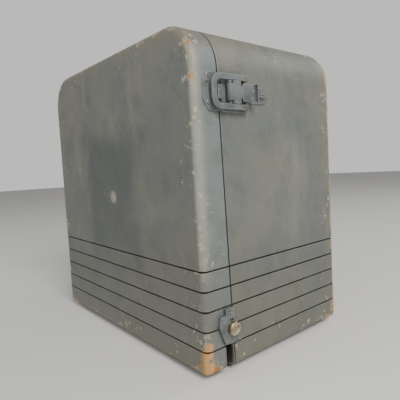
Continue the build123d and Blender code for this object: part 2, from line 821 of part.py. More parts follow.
def assemble():
    """Every node's pieces, by name."""
    box = wooden_box()
    behind_gap = block(-case_width, case_width, gap_back, seam_bottom + 2, -1, gap_top)
    case = split(box, bisect_by=parting.offset(-seam_gap / 2), keep=Keep.BOTTOM)
    case += box & behind_gap
    cover = split(box, bisect_by=parting.offset(seam_gap / 2), keep=Keep.TOP)
    cover -= block(-case_width, case_width, gap_back - 1, seam_bottom + 2, -1, gap_top)

    feet, foot_screws = rubber_feet()
    back, back_screws = back_panel()
    brackets, bracket_screws = handle_brackets()
    wood_screws = foot_screws + back_screws + bracket_screws

    latch_screws = [
        side_screw(60, latch_height - 17, base_thick, 3, 1.4, 11),
        side_screw(60, latch_height + 17, base_thick, 3, 1.4, 11),
        side_screw(104, latch_height, base_thick, 4.5, 2.6, 11),
    ]
    bearing_places = ((44, 41), (46.5, 34.8))
    bearing_screws = [side_screw(depth, z, bearing_high, 2.2, 1.4, 13) for depth, z in bearing_places]
    fitting_screws = both_sides(*latch_screws, *bearing_screws)
    keeper_screws = [side_screw(19, latch_height + z, 1.8, 2.6, 1.4, 11) for z in (-12, 12)]
    hook_places = ((21.5, 61), (32, 70))
    hook_screws = [side_screw(depth, z, hook_high, 2.4, 1.5, 15) for depth, z in hook_places]
    cover_screws = both_sides(*keeper_screws, *hook_screws)

    bases = both_sides(latch_base())
    bearings = both_sides(hinge_bearing())
    keepers = both_sides(latch_keeper())
    hooks = both_sides(hinge_hook())
    bolt = centre_bolt()

    for held_by in wood_screws + fitting_screws:
        case -= held_by
    for held_by in fitting_screws:
        bases = [piece - held_by for piece in bases]
        bearings = [piece - held_by for piece in bearings]
    for held_by in cover_screws:
        cover -= held_by
        keepers = [piece - held_by for piece in keepers]
        hooks = [piece - held_by for piece in hooks]
    cover -= bolt[0]

    toggles = [toggle_body(place) for place in (send_place, power_place)]
    bezel, jewel = pilot_lamp()
    posts = antenna_posts()
    jack = key_jack()
    socket = crystal_socket()
    edge = half_width - wall - 7
    spots = [(side * edge, z) for side in (-1, 1) for z in (60, 195, 310)]
    panel_screws = [facing_screw(x, z, panel_depth, 3.6, 2, 1.8, 16) for x, z in spots]
    cleats = wood_cleats()
    for held_by in panel_screws:
        cleats = [piece - held_by for piece in cleats]
    panel = front_panel(panel_screws)

    sockets, tube_bases, bulbs, plates = tube_set()
    core, bells = transformer()
    coil_form, winding = tank_coil()
    places = (tuning_place, loading_place)
    scale = disc(meter_place, meter_cup - 0.2, panel_depth + 5, panel_depth + 6)
    glass = disc(meter_place, meter_cup + 1.9, meter_front + 0.6, meter_front + 2.2)
    lever, bail = latch_lever(), latch_bail()

    return {
        "case_shell": [case],
        "seam_tongue": [seam_tongue()],
        "wood_cleats": cleats,
        "back_panel": [back],
        "wood_screws": wood_screws,
        "rubber_feet": feet,
        "handle_brackets": brackets,
        "handle_bail": [handle_bail()],
        "handle_grip": [handle_grip()],
        "latch_bases": bases,
        "latch_pivot_pins": both_sides(latch_pin_piece()),
        "fitting_screws": fitting_screws,
        "latch_lever_right": [lever],
        "latch_lever_left": [mirror(lever, about=Plane.YZ)],
        "latch_bail_right": [bail],
        "latch_bail_left": [mirror(bail, about=Plane.YZ)],
        "hinge_bearings": bearings,
        "hinge_pins": both_sides(hinge_pin()),
        "cover_shell": [cover],
        "centre_bolt": bolt,
        "latch_keepers": keepers,
        "hinge_hooks": hooks,
        "cover_fitting_screws": cover_screws,
        "front_panel": [panel],
        "panel_screws": panel_screws,
        "chassis": [chassis()],
        "chassis_brackets": chassis_brackets(),
        "meter_case": [meter_case()],
        "meter_scale": [scale],
        "meter_glass": [glass],
        "meter_needle": [meter_needle()],
        "dial_plates": [dial_plate(place, 46) for place in places] + [dial_plate(band_place, 32)],
        "tuning_knob": [fluted_knob(tuning_place, 25, 17, 21, 20)],
        "loading_knob": [fluted_knob(loading_place, 25, 17, 21, 20)],
        "band_knob": [band_knob()],
        "capacitor_frames": [capacitor_frame(place) for place in places],
        "capacitor_stators": [capacitor_stator(place) for place in places],
        "tuning_rotor": [capacitor_rotor(tuning_place)],
        "loading_rotor": [capacitor_rotor(loading_place)],
        "band_switch": [band_switch()],
        "switch_bodies": toggles,
        "send_toggle": [toggle_lever(send_place)],
        "power_toggle": [toggle_lever(power_place)],
        "pilot_bezel": [bezel],
        "pilot_jewel": [jewel],
        "key_jack": [jack],
        "antenna_posts": posts,
        "crystal_socket": [socket],
        "crystal_holder": [crystal_holder()],
        "transformer_core": [core],
        "transformer_bells": bells,
        "filter_choke": [filter_choke()],
        "filter_cans": filter_cans(),
        "tube_sockets": sockets,
        "tube_bases": tube_bases,
        "tube_bulbs": bulbs,
        "tube_plates": plates,
        "coil_form": [coil_form],
        "coil_winding": [winding],
        "mains_inlet": [mains_inlet()],
    }


os.makedirs("parts", exist_ok=True)
lift = Pos(0, 0, foot_height)
for name, pieces in assemble().items():
    solids = [lift * solid for piece in pieces for solid in piece.solids()]
    export_step(solids[0] if len(solids) == 1 else Compound(solids), f"parts/{name}.step")
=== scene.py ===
"""The looks of a portable ham radio transmitter in a painted wooden case.

Everything is in metres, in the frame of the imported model: X to the right as seen from the
front cover, Y to the back and Z up from the surface that the rubber feet stand on.
"""

import json
import math

import bmesh
import bpy
from mathutils import Matrix, Vector


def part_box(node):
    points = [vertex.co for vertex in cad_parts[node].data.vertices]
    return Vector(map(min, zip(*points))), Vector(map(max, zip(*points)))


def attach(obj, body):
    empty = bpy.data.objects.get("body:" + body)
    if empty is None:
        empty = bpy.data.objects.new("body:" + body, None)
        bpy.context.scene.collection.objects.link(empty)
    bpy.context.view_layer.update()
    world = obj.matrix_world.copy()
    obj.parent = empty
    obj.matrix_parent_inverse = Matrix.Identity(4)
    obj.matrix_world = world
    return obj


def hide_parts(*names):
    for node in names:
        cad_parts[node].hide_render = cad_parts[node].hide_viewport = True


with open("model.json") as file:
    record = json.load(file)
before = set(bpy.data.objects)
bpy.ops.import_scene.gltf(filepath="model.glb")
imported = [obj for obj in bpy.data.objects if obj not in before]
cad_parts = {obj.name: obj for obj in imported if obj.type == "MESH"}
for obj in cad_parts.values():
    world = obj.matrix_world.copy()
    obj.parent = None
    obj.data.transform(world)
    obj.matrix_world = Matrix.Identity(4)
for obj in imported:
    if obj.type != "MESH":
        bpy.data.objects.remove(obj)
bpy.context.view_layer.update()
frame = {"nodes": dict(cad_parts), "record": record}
nodes = frame["nodes"]
slot_of = {part["node"]: part["material_slot"] for part in frame["record"]["subparts"]}

MM = 0.001

# ---------------------------------------------------------------- the case, as it is worn
case_low, case_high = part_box("case_shell")
cover_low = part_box("cover_shell")[0]
HALF_WIDTH = case_high.x
UNDERSIDE = case_low.z
CROWN = case_high.z
FRONT = cover_low.y
BACK = case_high.y
CROWN_RADIUS = 52 * MM
SOLE_RADIUS = 10 * MM
LOWEST_GROOVE = UNDERSIDE + 29.7 * MM
GROOVE_PITCH = 23 * MM
GROOVE_COUNT = 5
GROOVE_HALF = 1.1 * MM
SEAM_FOOT = 41.5 * MM
SEAM_LEAN = 7.7 / 400
SLOT_DEPTH = 33.5 * MM
SLOT_HALF = 7 * MM
SLOT_TOP = UNDERSIDE + 55 * MM
WALL_INSIDE = 9 * MM


# ---------------------------------------------------------------- shader helpers
def add(tree, kind, inputs=None, **settings):
    """A new node with its settings and inputs, where an input is a value or another socket."""
    node = tree.nodes.new(kind)
    for name, value in settings.items():
        setattr(node, name, value)
    for name, value in (inputs or {}).items():
        if isinstance(value, bpy.types.NodeSocket):
            tree.links.new(value, node.inputs[name])
        else:
            node.inputs[name].default_value = value
    return node


def calc(tree, operation, *values, clamp=False):
    """The result of one sum on numbers or sockets."""
    inputs = dict(enumerate(values))
    return add(tree, "ShaderNodeMath", inputs, operation=operation, use_clamp=clamp).outputs[0]


def times(tree, one, other, clamp=False):
    """One value times another."""
    return calc(tree, "MULTIPLY", one, other, clamp=clamp)


def plus(tree, one, other, clamp=False):
    """One value plus another."""
    return calc(tree, "ADD", one, other, clamp=clamp)


def minus(tree, one, other):
    """One value less another."""
    return calc(tree, "SUBTRACT", one, other)


def size_of(tree, value):
    """A value without its sign."""
    return calc(tree, "ABSOLUTE", value)


def vector_calc(tree, operation, *values):
    """The result of one sum on vectors."""
    return add(tree, "ShaderNodeVectorMath", dict(enumerate(values)), operation=operation).outputs[0]


def fade(tree, value, start, end, low=0.0, high=1.0):
    """A smooth step from low at start to high at end."""
    inputs = {"Value": value, "From Min": start, "From Max": end, "To Min": low, "To Max": high}
    return add(tree, "ShaderNodeMapRange", inputs, interpolation_type="SMOOTHSTEP").outputs["Result"]


def tint(tree, share, below, above, blend="MIX"):
    """Two colours mixed by a share."""
    inputs = {0: share, 6: below, 7: above}
    return add(tree, "ShaderNodeMix", inputs, data_type="RGBA", blend_type=blend).outputs[2]


def lerp(tree, share, below, above):
    """Two numbers mixed by a share."""
    inputs = {0: share, 2: below, 3: above}
    return add(tree, "ShaderNodeMix", inputs, data_type="FLOAT").outputs[0]


def noise(tree, point, scale, detail=3.0, roughness=0.55, distortion=0.0):
    """Smooth noise from 0 to 1."""
    inputs = {
        "Vector": point, "Scale": scale, "Detail": detail, "Roughness": roughness, "Distortion": distortion,
    }
    return add(tree, "ShaderNodeTexNoise", inputs).outputs["Fac"]


def stretched(tree, point, scale, turn=(0, 0, 0), shift=(0, 0, 0)):
    """The point moved, turned and scaled along each axis."""
    inputs = {"Vector": point, "Location": shift, "Rotation": turn, "Scale": scale}
    return add(tree, "ShaderNodeMapping", inputs).outputs["Vector"]


def parts_of(tree, point):
    """A vector's x, y and z."""
    return add(tree, "ShaderNodeSeparateXYZ", {"Vector": point}).outputs


def srgb(red, green, blue):
    """A display colour, 0 to 255, as the shader wants it."""
    def linear(value):
        value /= 255
        return value / 12.92 if value <= 0.04045 else ((value + 0.055) / 1.055) ** 2.4

    return (linear(red), linear(green), linear(blue), 1.0)


SOCKET_KINDS = {"value": "NodeSocketFloat", "colour": "NodeSocketColor", "vector": "NodeSocketVector"}


def new_group(name, inputs, outputs):
    """An empty shader group with named sockets: (tree, its inputs, its output node)."""
    tree = bpy.data.node_groups.new(name, "ShaderNodeTree")
    for label, kind in inputs.items():
        tree.interface.new_socket(label, in_out="INPUT", socket_type=SOCKET_KINDS[kind])
    for label, kind in outputs.items():
        tree.interface.new_socket(label, in_out="OUTPUT", socket_type=SOCKET_KINDS[kind])
    return tree, tree.nodes.new("NodeGroupInput").outputs, tree.nodes.new("NodeGroupOutput")


def send(tree, end, values):
    """Joins a group's results to its outputs."""
    for label, socket in values.items():
        tree.links.new(socket, end.inputs[label])


def use(tree, group, inputs):
    """Places a shader group and returns its outputs."""
    node = add(tree, "ShaderNodeGroup", node_tree=group)
    for name, value in inputs.items():
        if isinstance(value, bpy.types.NodeSocket):
            tree.links.new(value, node.inputs[name])
        else:
            node.inputs[name].default_value = value
    return node.outputs


def new_material(name, **shader_values):
    """A material with one Principled shader: (material, tree, shader, the point being shaded)."""
    material = bpy.data.materials.new(name)
    material.use_nodes = True
    tree = material.node_tree
    shader = next(node for node in tree.nodes if node.type == "BSDF_PRINCIPLED")
    for label, value in shader_values.items():
        shader.inputs[label.replace("_", " ")].default_value = value
    point = add(tree, "ShaderNodeTexCoord").outputs["Object"]
    return material, tree, shader, point


def join(tree, shader, **sockets):
    """Feeds the shader's named inputs."""
    for label, socket in sockets.items():
        tree.links.new(socket, shader.inputs[label.replace("_", " ")])


def relief(tree, height, distance, strength=1.0, under=None):
    """A bumped normal from a height."""
    inputs = {"Height": height, "Distance": distance, "Strength": strength}
    if under is not None:
        inputs["Normal"] = under
    return add(tree, "ShaderNodeBump", inputs).outputs["Normal"]


# ---------------------------------------------------------------- shared effects
def build_case_gaps():
    """How far a point of the case lies in from its outer faces and from its nearest edge."""
    tree, given, end = new_group(
        "case_gaps", {"Point": "vector"}, {"Skin": "value", "Edge": "value", "Front": "value"}
    )
    x, y, z = parts_of(tree, given["Point"])
    middle = (UNDERSIDE + CROWN) / 2
    across = size_of(tree, x)
    rise = minus(tree, z, middle)
    half_height = (CROWN - UNDERSIDE) / 2
    radius = lerp(tree, calc(tree, "GREATER_THAN", rise, 0.0), SOLE_RADIUS, CROWN_RADIUS)
    over = plus(tree, minus(tree, across, HALF_WIDTH), radius)
    up = plus(tree, minus(tree, size_of(tree, rise), half_height), radius)
    flat_over, flat_up = calc(tree, "MAXIMUM", over, 0.0), calc(tree, "MAXIMUM", up, 0.0)
    over_squared = times(tree, flat_over, flat_over)
    reach = calc(tree, "SQRT", calc(tree, "MULTIPLY_ADD", flat_up, flat_up, over_squared))
    inside = calc(tree, "MINIMUM", calc(tree, "MAXIMUM", over, up), 0.0)
    side = minus(tree, radius, plus(tree, reach, inside))
    front = minus(tree, y, FRONT)
    back = minus(tree, BACK, y)
    ends = calc(tree, "MINIMUM", front, back)
    from_side = minus(tree, HALF_WIDTH, across)
    foot = plus(tree, minus(tree, z, UNDERSIDE), from_side)
    edge = calc(tree, "MINIMUM", plus(tree, side, ends), foot)
    send(tree, end, {"Skin": calc(tree, "MINIMUM", side, ends), "Edge": edge, "Front": front})
    return tree


def build_spot():
    """A soft patch: 1 at its centre, fading to 0 at its reach along each axis."""
    tree, given, end = new_group(
        "spot", {"Point": "vector", "Centre": "vector", "Reach": "vector"}, {"Share": "value"}
    )
    offset = vector_calc(tree, "SUBTRACT", given["Point"], given["Centre"])
    away = vector_calc(tree, "DIVIDE", offset, given["Reach"])
    length = add(tree, "ShaderNodeVectorMath", {0: away}, operation="LENGTH").outputs["Value"]
    send(tree, end, {"Share": fade(tree, length, 1.0, 0.35)})
    return tree


def build_scuffs():
    """Small clustered chips and hairline scratches, more of them where Amount is high."""
    tree, given, end = new_group(
        "scuffs", {"Point": "vector", "Scale": "value", "Amount": "value"},
        {"Chips": "value", "Scratches": "value"},
    )
    scaled = vector_calc(tree, "SCALE", given["Point"])
    tree.links.new(given["Scale"], scaled.node.inputs["Scale"])
    ragged = {"Vector": scaled, "Scale": 1.6, "Detail": 5.0, "Roughness": 0.7}
    bend = add(tree, "ShaderNodeTexNoise", ragged).outputs["Color"]
    sway = vector_calc(tree, "MULTIPLY", bend, (2.6, 2.6, 2.6))
    bent = vector_calc(tree, "ADD", scaled, sway)
    cell = add(tree, "ShaderNodeTexVoronoi", {"Vector": bent, "Scale": 1.0, "Randomness": 1.0})
    luck = parts_of(tree, cell.outputs["Color"])[0]
    cluster = fade(tree, noise(tree, scaled, 0.16, detail=4.0), 0.42, 0.6)
    amount = times(tree, given["Amount"], cluster)
    size = times(tree, fade(tree, luck, 0.35, 1.0), times(tree, amount, 0.5))
    chips = fade(tree, minus(tree, size, cell.outputs["Distance"]), 0.0, 0.06)
    lines = []
    for turn, stretch in ((0.5, (9.0, 9.0, 0.55)), (-1.1, (7.0, 7.0, 0.4))):
        along = stretched(tree, scaled, stretch, turn=(turn, turn * 0.7, 0.3))
        grain = noise(tree, along, 0.2, detail=1.5)
        near = size_of(tree, minus(tree, grain, 0.5))
        lines.append(fade(tree, near, 0.005, 0.0))
    where = fade(tree, noise(tree, scaled, 0.14, detail=2.0), 0.5, 0.68)
    scratches = times(tree, calc(tree, "MAXIMUM", *lines), where)
    scratches = times(tree, scratches, given["Amount"], clamp=True)
    send(tree, end, {"Chips": chips, "Scratches": scratches})
    return tree


def build_wood():
    """Softwood with its grain along one axis: colour, and a fine height."""
    tree, given, end = new_group(
        "wood", {"Point": "vector", "Early": "colour", "Late": "colour"},
        {"Colour": "colour", "Height": "value"},
    )
    along = stretched(tree, given["Point"], (1.0, 1.0, 0.07))
    wander = noise(tree, along, 26.0, detail=2.0)
    rings = calc(tree, "SINE", times(tree, plus(tree, wander, noise(tree, along, 9.0)), 34.0))
    fibre = noise(tree, stretched(tree, given["Point"], (1.0, 1.0, 0.03)), 900.0, detail=3.0, roughness=0.7)
    share = plus(tree, times(tree, rings, 0.28), times(tree, fibre, 0.9), clamp=True)
    colour = tint(tree, share, given["Early"], given["Late"])
    send(tree, end, {"Colour": colour, "Height": fibre})
    return tree


def build_worn_edges():
    """The rounded normal of a part's edges, and a broken mask where they have rubbed bright."""
    tree, given, end = new_group(
        "worn_edges", {"Point": "vector", "Radius": "value", "Wear": "value"},
        {"Normal": "vector", "Mask": "value"},
    )
    bevel = add(tree, "ShaderNodeBevel", {"Radius": given["Radius"]}, samples=4).outputs["Normal"]
    flat = add(tree, "ShaderNodeNewGeometry").outputs["Normal"]
    match = add(tree, "ShaderNodeVectorMath", {0: bevel, 1: flat}, operation="DOT_PRODUCT").outputs["Value"]
    turn = minus(tree, 1.0, match)
    rough = noise(tree, given["Point"], 420.0, detail=4.0, roughness=0.7)
    patches = noise(tree, given["Point"], 60.0, detail=2.0)
    bare = times(tree, fade(tree, turn, 0.008, 0.1), fade(tree, rough, 0.3, 0.52))
    bare = times(tree, bare, fade(tree, patches, 0.32, 0.6, 0.35, 1.0))
    mask = times(tree, bare, given["Wear"], clamp=True)
    send(tree, end, {"Normal": bevel, "Mask": mask})
    return tree


def build_dust():
    """Dust and grime: thicker on what faces up, blotchy everywhere."""
    tree, given, end = new_group("dust", {"Point": "vector", "Amount": "value"}, {"Share": "value"})
    facing = add(tree, "ShaderNodeTexCoord").outputs["Normal"]
    upward = fade(tree, parts_of(tree, facing)[2], 0.1, 1.0, 0.25, 1.0)
    blotch = fade(tree, noise(tree, given["Point"], 38.0, detail=5.0, roughness=0.65), 0.35, 0.75)
    share = times(tree, times(tree, upward, blotch), given["Amount"], clamp=True)
    send(tree, end, {"Share": share})
    return tree


def build_brushing():
    """Fine lines left by rolling or turning, as a height and a shift in gloss."""
    tree, given, end = new_group(
        "brushing", {"Point": "vector", "Along": "vector"}, {"Height": "value", "Gloss": "value"}
    )
    drawn = vector_calc(tree, "MULTIPLY", given["Point"], given["Along"])
    lines = noise(tree, drawn, 1500.0, detail=2.0, roughness=0.6)
    cloud = noise(tree, given["Point"], 45.0, detail=3.0)
    gloss = plus(tree, times(tree, lines, 0.6), times(tree, cloud, 0.4))
    send(tree, end, {"Height": lines, "Gloss": gloss})
    return tree


def build_wrinkle():
    """Baked wrinkle enamel: a net of small rounded folds."""
    tree, given, end = new_group("wrinkle", {"Point": "vector", "Scale": "value"}, {"Height": "value"})
    coarse = noise(tree, given["Point"], 120.0, detail=2.0)
    even = add(tree, "ShaderNodeCombineXYZ", {0: coarse, 1: coarse, 2: coarse}).outputs["Vector"]
    sway = vector_calc(tree, "SCALE", even)
    sway.node.inputs["Scale"].default_value = 0.004
    moved = vector_calc(tree, "ADD", given["Point"], sway)
    cell = add(
        tree, "ShaderNodeTexVoronoi", {"Vector": moved, "Scale": given["Scale"], "Randomness": 1.0},
        feature="SMOOTH_F1",
    )
    fold = fade(tree, cell.outputs["Distance"], 0.1, 0.65)
    send(tree, end, {"Height": fold})
    return tree


CASE_GAPS = build_case_gaps()
SPOT = build_spot()
SCUFFS = build_scuffs()
WOOD = build_wood()
WORN_EDGES = build_worn_edges()
DUST = build_dust()
BRUSHING = build_brushing()
WRINKLE = build_wrinkle()

WOOD_EARLY = srgb(214, 166, 108)
WOOD_LATE = srgb(140, 86, 42)
PAINT_COOL = srgb(108, 112, 109)
PAINT_WARM = srgb(121, 120, 110)
# The next colour is a painted bluish sheen on the cover's right front edge.
PAINT_EDGE_SHEEN = srgb(124, 135, 135)
PAINT_DARK = srgb(80, 83, 79)
PAINT_STAIN = srgb(146, 143, 128)
PAINT_PATCH = srgb(78, 84, 82)
PAINT_THIN = srgb(134, 122, 98)
# The next colour is a painted highlight along the right front edge.
PAINT_EDGE_HIGHLIGHT = srgb(164, 164, 154)
PAINT_CHIP = srgb(186, 182, 164)


# ---------------------------------------------------------------- the painted wooden case
# Places that hands, straps and the floor have rubbed through: (centre, reach, how far in).
BOLT_HEIGHT = UNDERSIDE + 200 * MM
RUBBED = (
    ((HALF_WIDTH, FRONT, UNDERSIDE + 4 * MM), (34 * MM, 34 * MM, 58 * MM), 15 * MM),
    ((HALF_WIDTH, FRONT, UNDERSIDE + 356 * MM), (28 * MM, 26 * MM, 60 * MM), 6 * MM),
    ((HALF_WIDTH, FRONT, UNDERSIDE + 150 * MM), (18 * MM, 17 * MM, 66 * MM), 3.4 * MM),
    ((128 * MM, FRONT, CROWN), (84 * MM, 20 * MM, 30 * MM), 5 * MM),
    ((-120 * MM, FRONT, CROWN - 10 * MM), (110 * MM, 18 * MM, 46 * MM), 3.6 * MM),
    ((-40 * MM, FRONT, UNDERSIDE), (260 * MM, 14 * MM, 14 * MM), 3.4 * MM),
    ((HALF_WIDTH - 16 * MM, BACK, CROWN - 22 * MM), (70 * MM, 130 * MM, 46 * MM), 4.6 * MM),
    ((HALF_WIDTH, BACK, UNDERSIDE + 210 * MM), (40 * MM, 24 * MM, 240 * MM), 3 * MM),
    ((HALF_WIDTH, BACK, UNDERSIDE), (40 * MM, 60 * MM, 50 * MM), 7 * MM),
    ((-HALF_WIDTH, FRONT, UNDERSIDE), (40 * MM, 50 * MM, 60 * MM), 9 * MM),
    ((-HALF_WIDTH, BACK, UNDERSIDE + 200 * MM), (40 * MM, 30 * MM, 260 * MM), 4 * MM),
)


def summed(tree, values):
    """The sum of several sockets."""
    total = values[0]
    for value in values[1:]:
        total = plus(tree, total, value)
    return total


def paint_colour(tree, point, gaps):
    """The grey paint itself, with its cool, warm, stained and darkened areas, and a painted sheen and
    highlight on the right front edge.
    """
    x, y, z = parts_of(tree, point)
    cloud = noise(tree, point, 5.5, detail=4.0, roughness=0.6)
    mottle = noise(tree, point, 30.0, detail=6.0, roughness=0.68)
    drip = noise(tree, stretched(tree, point, (1.0, 1.0, 0.32)), 17.0, detail=5.0, roughness=0.62)
    grit = noise(tree, point, 260.0, detail=5.0, roughness=0.75)
    colour = tint(tree, fade(tree, cloud, 0.38, 0.62), PAINT_COOL, PAINT_WARM)
    # A painted bluish sheen on the cover's right side and its rounded front edge.
    on_cover = fade(tree, y, FRONT + 39 * MM, FRONT + 37 * MM)
    sheen_band = times(tree, on_cover, fade(tree, x, HALF_WIDTH - 9 * MM, HALF_WIDTH - 3 * MM))
    colour = tint(tree, times(tree, sheen_band, 0.6), colour, PAINT_EDGE_SHEEN)
    colour = tint(tree, fade(tree, mottle, 0.46, 0.72, 0.0, 0.42), colour, PAINT_DARK)
    colour = tint(tree, fade(tree, drip, 0.52, 0.76, 0.0, 0.5), colour, PAINT_STAIN)
    colour = tint(tree, fade(tree, grit, 0.5, 0.74, 0.0, 0.35), colour, PAINT_DARK)

    # A broad darker patch on the front.
    sway = times(tree, minus(tree, noise(tree, point, 14.0, detail=4.0), 0.5), 90 * MM)
    patch_x, patch_z = -16 * MM, UNDERSIDE + 200 * MM
    patch_half_width, patch_half_height = 70 * MM, 80 * MM
    across = minus(tree, size_of(tree, minus(tree, x, patch_x)), patch_half_width)
    high = minus(tree, size_of(tree, minus(tree, z, patch_z)), patch_half_height)
    outside = plus(tree, calc(tree, "MAXIMUM", across, high), sway)
    patch = fade(tree, outside, 26 * MM, -20 * MM)
    patch = times(tree, patch, fade(tree, gaps["Front"], 4 * MM, 1 * MM))
    colour = tint(tree, times(tree, patch, 0.6), colour, PAINT_PATCH)

    # Paint rubbed thin and warm towards the edges, and a pale painted highlight along the right front edge.
    edge_highlight = fade(tree, plus(tree, gaps["Edge"], times(tree, mottle, 12 * MM)), 24 * MM, 7 * MM)
    edge_highlight = times(tree, edge_highlight, times(tree, sheen_band, fade(tree, z, 96 * MM, 150 * MM)))
    thin = fade(tree, plus(tree, gaps["Edge"], times(tree, mottle, 34 * MM)), 40 * MM, 16 * MM)
    colour = tint(tree, times(tree, thin, 0.3), colour, PAINT_THIN)
    colour = tint(tree, times(tree, edge_highlight, 0.75), colour, PAINT_EDGE_HIGHLIGHT)
    low = fade(tree, minus(tree, z, UNDERSIDE), 50 * MM, 4 * MM)
    low = times(tree, low, fade(tree, mottle, 0.35, 0.65))
    colour = tint(tree, times(tree, low, 0.3), colour, PAINT_THIN)
    # Darker towards the bottom.
    darker_low = fade(tree, minus(tree, z, UNDERSIDE), 190 * MM, 90 * MM, 0.0, 0.34)
    return tint(tree, darker_low, colour, PAINT_DARK)


def wear_reach(tree, point):
    """How far in from an edge the paint has gone, here."""
    marks = []
    for centre, reach, depth in RUBBED:
        spot = use(tree, SPOT, {"Point": point, "Centre": centre, "Reach": reach})
        marks.append(times(tree, spot["Share"], depth))
    return plus(tree, summed(tree, marks), 1.2 * MM)


def centre_scar(tree, point):
    """Torn, bright scratches round the bolt in the middle of the cover."""
    along = stretched(tree, point, (1.0, 1.0, 1.0), turn=(0, math.radians(-28), 0))
    streaks = noise(tree, stretched(tree, along, (0.45, 1.0, 2.6)), 170.0, detail=6.0, roughness=0.78)
    near = use(
        tree, SPOT,
        {"Point": along, "Centre": scar_centre(), "Reach": (48 * MM, 30 * MM, 24 * MM)},
    )["Share"]
    torn = fade(tree, plus(tree, streaks, times(tree, near, 0.13)), 0.7, 0.76)
    ring = {"Point": point, "Centre": (0.0, FRONT, BOLT_HEIGHT), "Reach": (12 * MM, 12 * MM, 12 * MM)}
    worn = times(tree, use(tree, SPOT, ring)["Share"], fade(tree, streaks, 0.36, 0.5))
    return calc(tree, "MAXIMUM", times(tree, torn, near), worn)


def scar_centre():
    """The middle of the scar, in the frame that the scratches are turned in."""
    turned = Matrix.Rotation(math.radians(-28), 3, "Y") @ Vector((-11 * MM, FRONT, BOLT_HEIGHT + 3 * MM))
    return tuple(turned)


